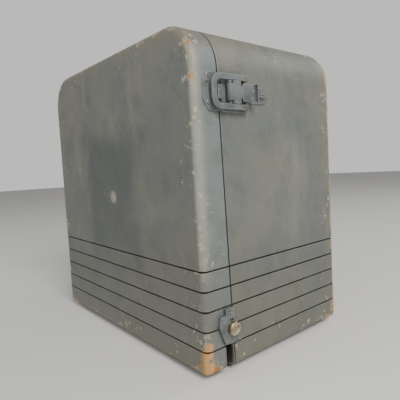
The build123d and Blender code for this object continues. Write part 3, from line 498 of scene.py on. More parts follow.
def case_paint():
    """Satin grey-blue paint over softwood, chipped and rubbed through at the edges."""
    material, tree, shader, point = new_material("case_paint", Specular_IOR_Level=0.42)
    gaps = use(tree, CASE_GAPS, {"Point": point})
    z = parts_of(tree, point)[2]
    colour = paint_colour(tree, point, gaps)
    reach = wear_reach(tree, point)
    rag = noise(tree, point, 75.0, detail=6.0, roughness=0.68)
    fine = noise(tree, point, 420.0, detail=4.0, roughness=0.7)
    torn = plus(tree, times(tree, rag, 3.0), times(tree, fine, 1.1))
    torn = times(tree, minus(tree, torn, 1.62), reach)
    depth = minus(tree, torn, times(tree, gaps["Edge"], 0.62))
    primer = fade(tree, depth, -1.1 * MM, -0.1 * MM)
    bare = fade(tree, depth, 0.3 * MM, 0.9 * MM)

    near_edge = fade(tree, gaps["Edge"], 50 * MM, 3 * MM, 0.3, 1.3)
    shoulder = use(tree, SPOT, {
        "Point": point,
        "Centre": (HALF_WIDTH, 60 * MM, CROWN - 26 * MM),
        "Reach": (60 * MM, 96 * MM, 38 * MM),
    })["Share"]
    near_edge = plus(tree, near_edge, times(tree, shoulder, 0.9))
    scuffs = use(tree, SCUFFS, {"Point": point, "Scale": 190.0, "Amount": near_edge})
    pale = calc(tree, "MAXIMUM", scuffs["Chips"], times(tree, scuffs["Scratches"], 0.5))
    pale = calc(tree, "MAXIMUM", pale, times(tree, primer, 0.75))
    pale = calc(tree, "MAXIMUM", pale, centre_scar(tree, point))
    outer = fade(tree, gaps["Skin"], 6 * MM, 3 * MM)
    pale = times(tree, pale, outer)
    colour = tint(tree, times(tree, pale, 0.8), colour, PAINT_CHIP)
    brown = times(tree, fade(tree, depth, -1.2 * MM, 0.4 * MM), outer)
    brown = times(tree, brown, fade(tree, rag, 0.46, 0.64))
    colour = tint(tree, times(tree, brown, 0.55), colour, srgb(122, 96, 64))

    # The slot under each hinge is painted inside, and darkened the deeper in as painted shade.
    from_slot = size_of(tree, minus(tree, gaps["Front"], SLOT_DEPTH))
    in_slot = calc(tree, "LESS_THAN", from_slot, SLOT_HALF)
    in_slot = times(tree, in_slot, calc(tree, "LESS_THAN", z, SLOT_TOP))
    shade = times(tree, in_slot, fade(tree, gaps["Skin"], 0.5 * MM, 4 * MM))
    wood = use(tree, WOOD, {"Point": point, "Early": WOOD_EARLY, "Late": WOOD_LATE})
    inside = fade(tree, gaps["Skin"], WALL_INSIDE - 1 * MM, WALL_INSIDE)
    inside = times(tree, inside, minus(tree, 1.0, in_slot))
    unpainted = calc(tree, "MAXIMUM", times(tree, bare, outer), inside)
    colour = tint(tree, unpainted, colour, wood["Colour"])
    colour = tint(tree, times(tree, inside, 0.45), colour, srgb(120, 84, 50))
    colour = tint(tree, times(tree, shade, 0.85), colour, srgb(38, 38, 36))

    # Painted shade in the saw cuts and along the seam between cover and case, made rough as well.
    lift = minus(tree, z, LOWEST_GROOVE - GROOVE_PITCH / 2)
    along_pitch = calc(tree, "MODULO", lift, GROOVE_PITCH)
    from_cut = size_of(tree, minus(tree, along_pitch, GROOVE_PITCH / 2))
    band = calc(tree, "LESS_THAN", from_cut, GROOVE_HALF)
    top = LOWEST_GROOVE + GROOVE_PITCH * (GROOVE_COUNT - 0.5)
    band = times(tree, band, calc(tree, "LESS_THAN", z, top))
    band = times(tree, band, fade(tree, gaps["Skin"], 0.25 * MM, 0.8 * MM))
    slope = times(tree, minus(tree, z, UNDERSIDE), SEAM_LEAN)
    seam = minus(tree, SEAM_FOOT, plus(tree, gaps["Front"], slope))
    band = calc(tree, "MAXIMUM", band, fade(tree, size_of(tree, seam), 1.3 * MM, 0.5 * MM))
    cut_shade = times(tree, band, minus(tree, 1.0, inside))
    # Painted shade, near black, in the cuts and along the seam.
    colour = tint(tree, times(tree, cut_shade, 0.92), colour, srgb(26, 25, 23))
    dust = use(tree, DUST, {"Point": point, "Amount": 0.22})["Share"]
    colour = tint(tree, dust, colour, srgb(150, 143, 126))

    satin = fade(tree, noise(tree, point, 18.0, detail=4.0), 0.3, 0.7, 0.4, 0.56)
    rough = lerp(tree, calc(tree, "MAXIMUM", unpainted, cut_shade), satin, 0.85)
    ribs = noise(tree, stretched(tree, point, (1.0, 1.0, 0.05)), 260.0, detail=3.0)
    skin = plus(tree, times(tree, ribs, 0.25), times(tree, fine, 0.3))
    sunk = calc(tree, "MAXIMUM", times(tree, pale, 0.5), unpainted)
    skin = minus(tree, skin, times(tree, sunk, 1.4))
    skin = plus(tree, skin, times(tree, times(tree, wood["Height"], unpainted), 0.5))
    join(tree, shader, Base_Color=colour, Roughness=rough, Normal=relief(tree, skin, 0.22 * MM, 0.8))
    return material


def bare_wood():
    """Planed softwood, a little grimed."""
    material, tree, shader, point = new_material("bare_wood", Specular_IOR_Level=0.3)
    wood = use(tree, WOOD, {"Point": point, "Early": srgb(196, 150, 98), "Late": srgb(136, 86, 46)})
    dust = use(tree, DUST, {"Point": point, "Amount": 0.35})["Share"]
    colour = tint(tree, dust, wood["Colour"], srgb(92, 78, 60))
    rough = fade(tree, noise(tree, point, 60.0), 0.3, 0.7, 0.62, 0.82)
    normal = relief(tree, wood["Height"], 0.15 * MM, 0.6)
    join(tree, shader, Base_Color=colour, Roughness=rough, Normal=normal)
    return material


# ---------------------------------------------------------------- metals and enamels
def painted_metal(name, paint, shade, worn, edge, wear=1.0, scale=150.0, specular=0.45):
    """Paint on pressed steel, rubbed off its edges, with chips and grime."""
    material, tree, shader, point = new_material(name, Specular_IOR_Level=specular)
    mottle = noise(tree, point, 48.0, detail=4.0, roughness=0.6)
    colour = tint(tree, fade(tree, mottle, 0.35, 0.7), paint, shade)
    edges = use(tree, WORN_EDGES, {"Point": point, "Radius": edge, "Wear": wear})
    scuffs = use(tree, SCUFFS, {"Point": point, "Scale": scale, "Amount": 0.55 * min(wear, 1.0)})
    bare = calc(tree, "MAXIMUM", edges["Mask"], scuffs["Chips"])
    colour = tint(tree, bare, colour, worn)
    colour = tint(tree, times(tree, scuffs["Scratches"], 0.5), colour, worn)
    dust = use(tree, DUST, {"Point": point, "Amount": 0.28})["Share"]
    colour = tint(tree, dust, colour, srgb(120, 114, 100))
    rough = lerp(tree, bare, fade(tree, mottle, 0.3, 0.7, 0.42, 0.58), 0.38)
    fine = noise(tree, point, 600.0, detail=3.0)
    height = minus(tree, times(tree, fine, 0.4), bare)
    join(
        tree, shader, Base_Color=colour, Roughness=rough, Metallic=times(tree, bare, 0.75),
        Normal=relief(tree, height, 0.05 * MM, 0.6, edges["Normal"]),
    )
    return material


def bright_metal(name, base, tarnish, edge, along=(1.0, 1.0, 0.05), stain=0.5, gloss=(0.24, 0.5)):
    """Turned or rolled metal with fine lines, and stained with age."""
    material, tree, shader, point = new_material(name, Metallic=1.0)
    lines = use(tree, BRUSHING, {"Point": point, "Along": along})
    cloud = noise(tree, point, 130.0, detail=5.0, roughness=0.68)
    share = times(tree, fade(tree, cloud, 0.42, 0.66), stain)
    colour = tint(tree, share, base, tarnish)
    pits = fade(tree, noise(tree, point, 900.0, detail=3.0), 0.62, 0.72, 0.0, stain)
    colour = tint(tree, pits, colour, srgb(70, 56, 42))
    edges = use(tree, WORN_EDGES, {"Point": point, "Radius": edge, "Wear": 0.6})
    colour = tint(tree, edges["Mask"], colour, base)
    rough = plus(tree, fade(tree, lines["Gloss"], 0.3, 0.7, *gloss), times(tree, share, 0.25))
    height = minus(tree, times(tree, lines["Height"], 0.5), pits)
    join(
        tree, shader, Base_Color=colour, Roughness=rough,
        Normal=relief(tree, height, 0.02 * MM, 0.5, edges["Normal"]),
    )
    return material


def wrinkle_enamel(name, colour, scale, worn):
    """Black enamel baked to a wrinkle, polished thin on the edges."""
    material, tree, shader, point = new_material(name, Specular_IOR_Level=0.5)
    fold = use(tree, WRINKLE, {"Point": point, "Scale": scale})["Height"]
    edges = use(tree, WORN_EDGES, {"Point": point, "Radius": 0.5 * MM, "Wear": 0.8})
    grime = use(tree, DUST, {"Point": point, "Amount": 0.3})["Share"]
    base = tint(tree, times(tree, fold, 0.5), colour, srgb(52, 52, 54))
    base = tint(tree, grime, base, srgb(88, 84, 76))
    base = tint(tree, edges["Mask"], base, worn)
    rough = fade(tree, noise(tree, point, 30.0), 0.3, 0.7, 0.34, 0.5)
    normal = relief(tree, fold, 0.16 * MM, 0.85, edges["Normal"])
    join(tree, shader, Base_Color=base, Roughness=rough, Normal=normal)
    return material


def moulded(name, colour, sheen_dust=0.2, gloss=(0.18, 0.36)):
    """Moulded phenolic: nearly black, polished where it is handled."""
    material, tree, shader, point = new_material(name, Specular_IOR_Level=0.5)
    swirl = noise(tree, point, 90.0, detail=5.0, roughness=0.6, distortion=1.4)
    base = tint(tree, fade(tree, swirl, 0.4, 0.7), colour, srgb(46, 36, 30))
    edges = use(tree, WORN_EDGES, {"Point": point, "Radius": 0.5 * MM, "Wear": 0.35})
    grime = use(tree, DUST, {"Point": point, "Amount": sheen_dust})["Share"]
    base = tint(tree, grime, base, srgb(104, 98, 88))
    base = tint(tree, edges["Mask"], base, srgb(96, 88, 80))
    rough = fade(tree, noise(tree, point, 55.0, detail=4.0), 0.3, 0.7, *gloss)
    height = noise(tree, point, 700.0, detail=2.0)
    normal = relief(tree, height, 0.02 * MM, 0.4, edges["Normal"])
    join(tree, shader, Base_Color=base, Roughness=rough, Normal=normal)
    return material


def black_rubber():
    """Rubber that has gone grey at the surface."""
    material, tree, shader, point = new_material("rubber", Specular_IOR_Level=0.3)
    bloom = noise(tree, point, 110.0, detail=5.0, roughness=0.7)
    colour = tint(tree, fade(tree, bloom, 0.4, 0.75), srgb(30, 30, 30), srgb(70, 68, 64))
    rough = fade(tree, bloom, 0.3, 0.7, 0.72, 0.9)
    join(tree, shader, Base_Color=colour, Roughness=rough, Normal=relief(tree, bloom, 0.12 * MM, 0.6))
    return material


def grained_leather(name, dark, light):
    """Creased leather, dark in its pores and rubbed lighter by hands."""
    material, tree, shader, point = new_material(name, Specular_IOR_Level=0.4)
    cells = {"Vector": point, "Scale": 900.0}
    pores = add(tree, "ShaderNodeTexVoronoi", cells, feature="DISTANCE_TO_EDGE").outputs["Distance"]
    crease = fade(tree, pores, 0.0, 0.16)
    worn = fade(tree, noise(tree, point, 70.0, detail=5.0), 0.4, 0.7)
    colour = tint(tree, worn, dark, light)
    colour = tint(tree, times(tree, minus(tree, 1.0, crease), 0.6), colour, srgb(20, 12, 8))
    folds = noise(tree, stretched(tree, point, (0.4, 1.0, 1.0)), 260.0, detail=3.0, distortion=0.8)
    rough = fade(tree, worn, 0.0, 1.0, 0.62, 0.4)
    height = plus(tree, times(tree, crease, 0.5), folds)
    join(tree, shader, Base_Color=colour, Roughness=rough, Normal=relief(tree, height, 0.18 * MM, 0.8))
    return material


def stitched_thread():
    """Waxed linen thread."""
    material, tree, shader, point = new_material("waxed_thread", Specular_IOR_Level=0.3)
    ply = noise(tree, stretched(tree, point, (1.0, 0.3, 0.3)), 2600.0, detail=2.0)
    colour = tint(tree, fade(tree, ply, 0.35, 0.65), srgb(128, 104, 66), srgb(186, 162, 118))
    join(
        tree, shader, Base_Color=colour, Roughness=fade(tree, ply, 0.3, 0.7, 0.6, 0.8),
        Normal=relief(tree, ply, 0.1 * MM, 0.7),
    )
    return material


def clear_glass():
    """Thin blown glass."""
    material, tree, shader, point = new_material(
        "clear_glass", Base_Color=(0.94, 0.97, 0.95, 1.0), Transmission_Weight=1.0, IOR=1.46,
    )
    smear = noise(tree, point, 42.0, detail=4.0)
    ripple = noise(tree, point, 16.0, detail=1.0)
    join(
        tree, shader, Roughness=fade(tree, smear, 0.5, 0.8, 0.01, 0.09),
        Normal=relief(tree, ripple, 0.3 * MM, 0.15),
    )
    return material


def jewel_glass():
    """The pilot lamp's red glass, cut in facets."""
    material, tree, shader, point = new_material(
        "jewel_glass", Transmission_Weight=0.6, IOR=1.55, Coat_Weight=0.6,
    )
    low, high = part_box("pilot_jewel")
    middle = (low + high) / 2
    centred = stretched(tree, point, (1.0, 1.0, 1.0), shift=tuple(-middle))
    facet = add(tree, "ShaderNodeTexVoronoi", {"Vector": centred, "Scale": 420.0, "Randomness": 0.15})
    depth = facet.outputs["Distance"]
    colour = tint(tree, fade(tree, depth, 0.1, 0.7), srgb(196, 24, 18), srgb(120, 6, 8))
    join(
        tree, shader, Base_Color=colour, Roughness=fade(tree, depth, 0.0, 0.8, 0.05, 0.2),
        Normal=relief(tree, depth, 0.5 * MM, 0.7),
    )
    return material


def scale_card():
    """Cream card, foxed towards its rim."""
    material, tree, shader, point = new_material("scale_card", Specular_IOR_Level=0.25)
    age = noise(tree, point, 90.0, detail=5.0, roughness=0.7)
    colour = tint(tree, fade(tree, age, 0.45, 0.75), srgb(233, 224, 196), srgb(206, 186, 142))
    fibre = noise(tree, point, 1800.0, detail=2.0)
    join(
        tree, shader, Base_Color=colour, Roughness=fade(tree, fibre, 0.3, 0.7, 0.66, 0.8),
        Normal=relief(tree, fibre, 0.02 * MM, 0.5),
    )
    return material


def dial_metal():
    """Dial plates: dark etched ground, polished bright at the rim."""
    material, tree, shader, point = new_material("dial_metal", Specular_IOR_Level=0.5)
    grain = noise(tree, point, 1100.0, detail=2.0)
    cloud = noise(tree, point, 60.0, detail=4.0)
    ground = tint(tree, fade(tree, cloud, 0.4, 0.7), srgb(40, 42, 45), srgb(60, 61, 62))
    edges = use(tree, WORN_EDGES, {"Point": point, "Radius": 1.1 * MM, "Wear": 1.0})
    colour = tint(tree, edges["Mask"], ground, srgb(190, 188, 180))
    join(
        tree, shader, Base_Color=colour, Metallic=edges["Mask"],
        Roughness=fade(tree, grain, 0.3, 0.7, 0.38, 0.5),
        Normal=relief(tree, grain, 0.02 * MM, 0.5, edges["Normal"]),
    )
    return material


def white_filling(name, colour):
    """Paint wiped into engraved marks, yellowed with age."""
    material, tree, shader, point = new_material(name, Specular_IOR_Level=0.35)
    age = noise(tree, point, 240.0, detail=4.0)
    shade = tint(tree, fade(tree, age, 0.4, 0.75, 0.0, 0.6), colour, srgb(170, 156, 118))
    join(
        tree, shader, Base_Color=shade, Roughness=fade(tree, age, 0.3, 0.7, 0.5, 0.7),
        Normal=relief(tree, age, 0.03 * MM, 0.4),
    )
    return material


def ceramic():
    """Unglazed ceramic with firing specks."""
    material, tree, shader, point = new_material("ceramic", Specular_IOR_Level=0.4)
    speck = noise(tree, point, 800.0, detail=3.0, roughness=0.7)
    cloud = noise(tree, point, 70.0, detail=4.0)
    colour = tint(tree, fade(tree, cloud, 0.4, 0.7), srgb(226, 220, 203), srgb(204, 194, 168))
    colour = tint(tree, fade(tree, speck, 0.64, 0.74, 0.0, 0.6), colour, srgb(128, 108, 82))
    join(
        tree, shader, Base_Color=colour, Roughness=fade(tree, cloud, 0.3, 0.7, 0.42, 0.6),
        Normal=relief(tree, speck, 0.04 * MM, 0.5),
    )
    return material


def laminations():
    """The edges of thin iron sheets under varnish."""
    material, tree, shader, point = new_material("laminations", Metallic=0.85)
    sheets = noise(tree, stretched(tree, point, (0.02, 1.0, 0.02)), 1700.0, detail=1.0)
    rust = noise(tree, point, 95.0, detail=5.0, roughness=0.7)
    colour = tint(tree, fade(tree, sheets, 0.35, 0.65), srgb(58, 54, 52), srgb(104, 98, 94))
    colour = tint(tree, fade(tree, rust, 0.52, 0.72, 0.0, 0.6), colour, srgb(104, 62, 38))
    join(
        tree, shader, Base_Color=colour, Roughness=fade(tree, rust, 0.3, 0.7, 0.4, 0.65),
        Normal=relief(tree, sheets, 0.08 * MM, 0.7),
    )
    return material


def anode_metal():
    """Carbonised nickel, dull and grey-black."""
    material, tree, shader, point = new_material("anode_metal", Metallic=0.55)
    soot = noise(tree, point, 150.0, detail=5.0, roughness=0.65)
    colour = tint(tree, fade(tree, soot, 0.35, 0.7), srgb(62, 62, 62), srgb(104, 102, 98))
    join(
        tree, shader, Base_Color=colour, Roughness=fade(tree, soot, 0.3, 0.7, 0.5, 0.72),
        Normal=relief(tree, soot, 0.05 * MM, 0.5),
    )
    return material


STEEL, STEEL_DULL = srgb(196, 192, 182), srgb(134, 122, 102)
FINISHES = {
    "case_paint": case_paint(),
    "bare_wood": bare_wood(),
    "fitting_paint": painted_metal(
        "fitting_paint", srgb(112, 118, 120), srgb(84, 88, 88), srgb(206, 204, 194), 1.1 * MM, wear=1.0,
    ),
    "bare_steel": bright_metal("bare_steel", STEEL, STEEL_DULL, 0.5 * MM, stain=0.3),
    "rubber": black_rubber(),
    "handle_leather": grained_leather("handle_leather", srgb(58, 36, 24), srgb(104, 66, 42)),
    "panel_enamel": wrinkle_enamel("panel_enamel", srgb(24, 24, 25), 1250.0, srgb(150, 146, 138)),
    "back_enamel": painted_metal(
        "back_enamel", srgb(96, 100, 98), srgb(82, 85, 82), srgb(150, 148, 140), 0.6 * MM,
        wear=0.6, scale=90.0,
    ),
    "chassis_plate": bright_metal(
        "chassis_plate", srgb(186, 184, 170), srgb(160, 153, 132), 0.5 * MM,
        along=(0.04, 1.0, 1.0), stain=0.25, gloss=(0.32, 0.55),
    ),
    "moulding": moulded("moulding", srgb(20, 18, 17)),
    "dial_metal": dial_metal(),
    "scale_card": scale_card(),
    "clear_glass": clear_glass(),
    "jewel_glass": jewel_glass(),
    "needle_enamel": moulded("needle_enamel", srgb(16, 16, 16), sheen_dust=0.05, gloss=(0.3, 0.5)),
    "brass": bright_metal("brass", srgb(196, 184, 152), srgb(112, 98, 72), 0.6 * MM, stain=0.75),
    "capacitor_aluminium": bright_metal(
        "capacitor_aluminium", srgb(214, 214, 210), srgb(168, 166, 158), 0.3 * MM, along=(1.0, 0.05, 1.0),
        stain=0.35, gloss=(0.3, 0.5),
    ),
    "ceramic": ceramic(),
    "transformer_enamel": wrinkle_enamel(
        "transformer_enamel", srgb(22, 22, 24), 700.0, srgb(120, 116, 108)
    ),
    "laminations": laminations(),
    "copper_wire": bright_metal(
        "copper_wire", srgb(206, 122, 78), srgb(148, 78, 44), 0.2 * MM, stain=0.4, gloss=(0.16, 0.34),
    ),
    "anode_metal": anode_metal(),
}
for name, piece in nodes.items():
    for shown in piece.material_slots:
        shown.material = FINISHES[slot_of[name]]


# ---------------------------------------------------------------- added pieces: repeated things
GEOMETRY_SOCKETS = {
    "count": "NodeSocketInt", "length": "NodeSocketFloat", "place": "NodeSocketVector",
    "material": "NodeSocketMaterial", "object": "NodeSocketObject",
}


def new_nodes(name, inputs):
    """An empty geometry tree with named inputs: (tree, its inputs, its output node)."""
    tree = bpy.data.node_groups.new(name, "GeometryNodeTree")
    tree.interface.new_socket("Geometry", in_out="OUTPUT", socket_type="NodeSocketGeometry")
    for label, kind in inputs.items():
        tree.interface.new_socket(label, in_out="INPUT", socket_type=GEOMETRY_SOCKETS[kind])
    return tree, tree.nodes.new("NodeGroupInput").outputs, tree.nodes.new("NodeGroupOutput")


def close_tree(tree, end, instances, material):
    """Makes the instances real, gives them their material and sends them out."""
    real = add(tree, "GeometryNodeRealizeInstances", {"Geometry": instances}).outputs["Geometry"]
    done = add(tree, "GeometryNodeSetMaterial", {"Geometry": real, "Material": material})
    tree.links.new(done.outputs["Geometry"], end.inputs["Geometry"])
    return tree


def combined(tree, x=0.0, y=0.0, z=0.0):
    """A vector from three values."""
    return add(tree, "ShaderNodeCombineXYZ", {"X": x, "Y": y, "Z": z}).outputs["Vector"]


def build_ring():
    """Copies of one object round an arc that faces the front, each turned to point outwards."""
    tree, given, end = new_nodes("ring_of_copies", {
        "Piece": "object", "Count": "count", "Start": "length", "Sweep": "length", "Radius": "length",
        "Centre": "place", "Material": "material",
    })
    steps = minus(tree, given["Count"], 1.0)
    index = add(tree, "GeometryNodeInputIndex").outputs["Index"]
    share = calc(tree, "DIVIDE", index, calc(tree, "MAXIMUM", steps, 1.0))
    angle = plus(tree, given["Start"], times(tree, given["Sweep"], share))
    out = combined(tree, x=calc(tree, "SINE", angle), z=calc(tree, "COSINE", angle))
    reach = vector_calc(tree, "MULTIPLY", out, combined(tree, given["Radius"], 0.0, given["Radius"]))
    place = vector_calc(tree, "ADD", reach, given["Centre"])
    row = add(tree, "GeometryNodeMeshLine", {"Count": given["Count"]}).outputs["Mesh"]
    points = add(tree, "GeometryNodeSetPosition", {"Geometry": row, "Position": place}).outputs["Geometry"]
    piece = add(tree, "GeometryNodeObjectInfo", {"Object": given["Piece"]}).outputs["Geometry"]
    copies = add(
        tree, "GeometryNodeInstanceOnPoints",
        {"Points": points, "Instance": piece, "Rotation": combined(tree, y=angle)},
    ).outputs["Instances"]
    return close_tree(tree, end, copies, given["Material"])


def build_grid():
    """Copies of one object in rows and columns, each a little out of line by a fixed seed."""
    tree, given, end = new_nodes("grid_of_copies", {
        "Piece": "object", "Columns": "count", "Rows": "count", "Across": "place", "Up": "place",
        "Start": "place", "Jitter": "length", "Seed": "count", "Material": "material",
    })
    index = add(tree, "GeometryNodeInputIndex").outputs["Index"]
    column = calc(tree, "MODULO", index, given["Columns"])
    row = calc(tree, "FLOOR", calc(tree, "DIVIDE", plus(tree, index, 0.01), given["Columns"]))
    across = vector_calc(tree, "MULTIPLY", given["Across"], combined(tree, column, column, column))
    up = vector_calc(tree, "MULTIPLY", given["Up"], combined(tree, row, row, row))
    place = vector_calc(tree, "ADD", vector_calc(tree, "ADD", across, up), given["Start"])
    span = {"Min": (-1, -1, -1), "Max": (1, 1, 1), "Seed": given["Seed"]}
    luck = add(tree, "FunctionNodeRandomValue", span, data_type="FLOAT_VECTOR").outputs["Value"]
    size = combined(tree, given["Jitter"], given["Jitter"], given["Jitter"])
    place = vector_calc(tree, "ADD", place, vector_calc(tree, "MULTIPLY", luck, size))
    total = times(tree, given["Columns"], given["Rows"])
    line = add(tree, "GeometryNodeMeshLine", {"Count": total}).outputs["Mesh"]
    points = add(tree, "GeometryNodeSetPosition", {"Geometry": line, "Position": place}).outputs["Geometry"]
    piece = add(tree, "GeometryNodeObjectInfo", {"Object": given["Piece"]}).outputs["Geometry"]
    copies = add(
        tree, "GeometryNodeInstanceOnPoints", {"Points": points, "Instance": piece}
    ).outputs["Instances"]
    return close_tree(tree, end, copies, given["Material"])


def build_winding():
    """Round wire wound in a helix that stands up."""
    tree, given, end = new_nodes("wound_wire", {
        "Turns": "count", "Radius": "length", "Height": "length", "Wire": "length", "Start": "place",
        "Material": "material",
    })
    path = add(tree, "GeometryNodeCurveSpiral", {
        "Resolution": 40, "Rotations": given["Turns"], "Start Radius": given["Radius"],
        "End Radius": given["Radius"], "Height": given["Height"],
    }).outputs["Curve"]
    ring = add(tree, "GeometryNodeCurvePrimitiveCircle", {"Resolution": 10, "Radius": given["Wire"]})
    wire = add(tree, "GeometryNodeCurveToMesh", {
        "Curve": path, "Profile Curve": ring.outputs["Curve"], "Fill Caps": True,
    }).outputs["Mesh"]
    smooth = add(tree, "GeometryNodeSetShadeSmooth", {"Geometry": wire}).outputs["Geometry"]
    moved = add(tree, "GeometryNodeTransform", {"Geometry": smooth, "Translation": given["Start"]})
    return close_tree(tree, end, moved.outputs["Geometry"], given["Material"])


RING = build_ring()
GRID = build_grid()
WINDING = build_winding()


def grown(name, tree, values):
    """Runs a geometry tree once and keeps its result as a plain mesh object."""
    holder = bpy.data.objects.new(name, bpy.data.meshes.new(name + "_seed"))
    bpy.context.scene.collection.objects.link(holder)
    growth = holder.modifiers.new("growth", "NODES")
    growth.node_group = tree
    sockets = {item.name: item.identifier for item in tree.interface.items_tree if item.in_out == "INPUT"}
    for label, value in values.items():
        growth[sockets[label]] = value
    bpy.context.view_layer.update()
    seen = holder.evaluated_get(bpy.context.evaluated_depsgraph_get())
    mesh = bpy.data.meshes.new_from_object(seen)
    mesh.name = name
    holder.modifiers.remove(growth)
    holder.data = mesh
    return holder


def keep(name, build, material=None, smooth=False):
    """A finished bmesh as an object in the scene."""
    mesh = bpy.data.meshes.new(name)
    bmesh.ops.recalc_face_normals(build, faces=build.faces[:])
    for face in build.faces:
        face.smooth = smooth
    build.to_mesh(mesh)
    build.free()
    if material is not None:
        mesh.materials.append(material)
    made = bpy.data.objects.new(name, mesh)
    bpy.context.scene.collection.objects.link(made)
    return made


def merged(name, pieces):
    """Several objects of the scene as one, with the materials of the first."""
    build = bmesh.new()
    for piece in pieces:
        build.from_mesh(piece.data)
    mesh = bpy.data.meshes.new(name)
    build.to_mesh(mesh)
    build.free()
    for material in pieces[0].data.materials:
        mesh.materials.append(material)
    for piece in pieces:
        bpy.data.objects.remove(piece)
    made = bpy.data.objects.new(name, mesh)
    bpy.context.scene.collection.objects.link(made)
    return made


def small_bar(name, width, thick, length, soft=0.2):
    """A bar along Z with softened edges, centred on the origin."""
    build = bmesh.new()
    bmesh.ops.create_cube(build, size=1.0)
    bmesh.ops.scale(build, vec=(width, thick, length), verts=build.verts[:])
    reach = min(width, thick, length) * soft
    bmesh.ops.bevel(build, geom=build.edges[:], offset=reach, segments=1, affect="EDGES")
    return keep(name, build)


def turned(name, radii_and_heights, axis="Z", segments=32, smooth=True):
    """A closed turned solid from (radius, height) pairs along its axis."""
    build = bmesh.new()
    rings = []
    for radius, height in radii_and_heights:
        ring = []
        for i in range(segments):
            angle = math.tau * i / segments
            across, over = radius * math.cos(angle), radius * math.sin(angle)
            ring.append(build.verts.new((across, height, over) if axis == "Y" else (across, over, height)))
        rings.append(ring)
    for low, high in zip(rings, rings[1:]):
        for i in range(segments):
            build.faces.new((low[i], low[(i + 1) % segments], high[(i + 1) % segments], high[i]))
    build.faces.new(rings[0])
    build.faces.new(rings[-1])
    return keep(name, build, smooth=smooth)


def throw_away(*pieces):
    """Removes the patterns that only their copies are wanted of."""
    for piece in pieces:
        bpy.data.objects.remove(piece)


def shifted(piece, place):
    """Moves a piece by moving its mesh."""
    piece.data.transform(Matrix.Translation(place))
    return piece


def numbers(name, labels, centre, radius, size, start, sweep, material, upright=True):
    """Digits round an arc, read from the front, as one mesh."""
    made = []
    for i, label in enumerate(labels):
        angle = start + sweep * i / (len(labels) - 1)
        curve = bpy.data.curves.new(name + "_digits", "FONT")
        curve.body, curve.size, curve.extrude = str(label), size, 0.1 * MM
        curve.align_x, curve.align_y = "CENTER", "CENTER"
        curve.resolution_u = 3
        written = bpy.data.objects.new(name + "_digits", curve)
        bpy.context.scene.collection.objects.link(written)
        bpy.context.view_layer.update()
        mesh = bpy.data.meshes.new_from_object(
            written.evaluated_get(bpy.context.evaluated_depsgraph_get())
        )
        bpy.data.objects.remove(written)
        lean = 0.0 if upright else angle
        stand = Matrix.Rotation(lean, 4, "Y") @ Matrix.Rotation(math.pi / 2, 4, "X")
        out = Vector((math.sin(angle), 0.0, math.cos(angle))) * radius
        mesh.transform(Matrix.Translation(Vector(centre) + out) @ stand)
        mesh.materials.clear()
        mesh.materials.append(material)
        made.append(bpy.data.objects.new(name + "_digit", mesh))
        bpy.context.scene.collection.objects.link(made[-1])
    return merged(name, made)


# ---------------------------------------------------------------- added pieces: the set
CREAM = white_filling("cream_filling", srgb(226, 220, 198))
INK = white_filling("black_ink", srgb(22, 22, 24))
TURN = math.pi / 2
SKIRT_THICK = 3 * MM


def middle_of(node):
    """The centre of a node's box."""
    low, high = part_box(node)
    return (low + high) / 2


def dial_marks(name, radius, centre, start, sweep, count, long_every, labels, size):
    """Scale lines and numbers that stand a little proud of a dial plate."""
    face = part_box("dial_plates")[0].y - 0.12 * MM
    spot = (centre[0], face, centre[1])
    fine = small_bar("fine_mark", 0.45 * MM, 0.3 * MM, 3.0 * MM)
    broad = small_bar("broad_mark", 0.8 * MM, 0.3 * MM, 5.0 * MM)
    values = {"Start": start, "Sweep": sweep, "Centre": spot, "Material": CREAM}
    marks = [
        grown(name + "_fine", RING, {**values, "Piece": fine, "Count": count, "Radius": radius - 2.6 * MM}),
        grown(name + "_broad", RING, {
            **values, "Piece": broad, "Count": (count - 1) // long_every + 1, "Radius": radius - 3.4 * MM,
        }),
        numbers(name + "_numbers", labels, spot, radius - 10.5 * MM, size, start, sweep, CREAM),
    ]
    throw_away(fine, broad)
    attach(merged(name, marks), "case")


def pointer(name, body, knob, reach, angle):
    """The filled line on a knob's skirt."""
    centre = middle_of(knob)
    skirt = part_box(knob)[1].y - SKIRT_THICK
    line = small_bar(name, 1.0 * MM, 0.3 * MM, 6.5 * MM)
    line.data.transform(Matrix.Translation((0, 0, reach - 3.9 * MM)))
    line.data.transform(Matrix.Rotation(angle, 4, "Y"))
    line.data.transform(Matrix.Translation((centre.x, skirt - 0.1 * MM, centre.z)))
    line.data.materials.append(CREAM)
    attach(line, body)


def dials():
    """The three dials of the panel, with the pointers of their knobs."""
    tens = list(range(0, 101, 10))
    for knob in ("tuning", "loading"):
        centre = middle_of(knob + "_knob")
        dial_marks(
            knob + "_scale", 46 * MM, (centre.x, centre.z), -TURN, math.pi, 101, 10, tens, 5.4 * MM
        )
        pointer(knob + "_pointer", knob, knob + "_knob", 25 * MM, -TURN)
    third = math.radians(60)
    bands = list(range(1, 6))
    dial_marks("band_scale", 32 * MM, (0.0, UNDERSIDE + 190 * MM), -third, 2 * third, 5, 1, bands, 6.0 * MM)
    pointer("band_pointer", "band", "band_knob", 17 * MM, 0.0)


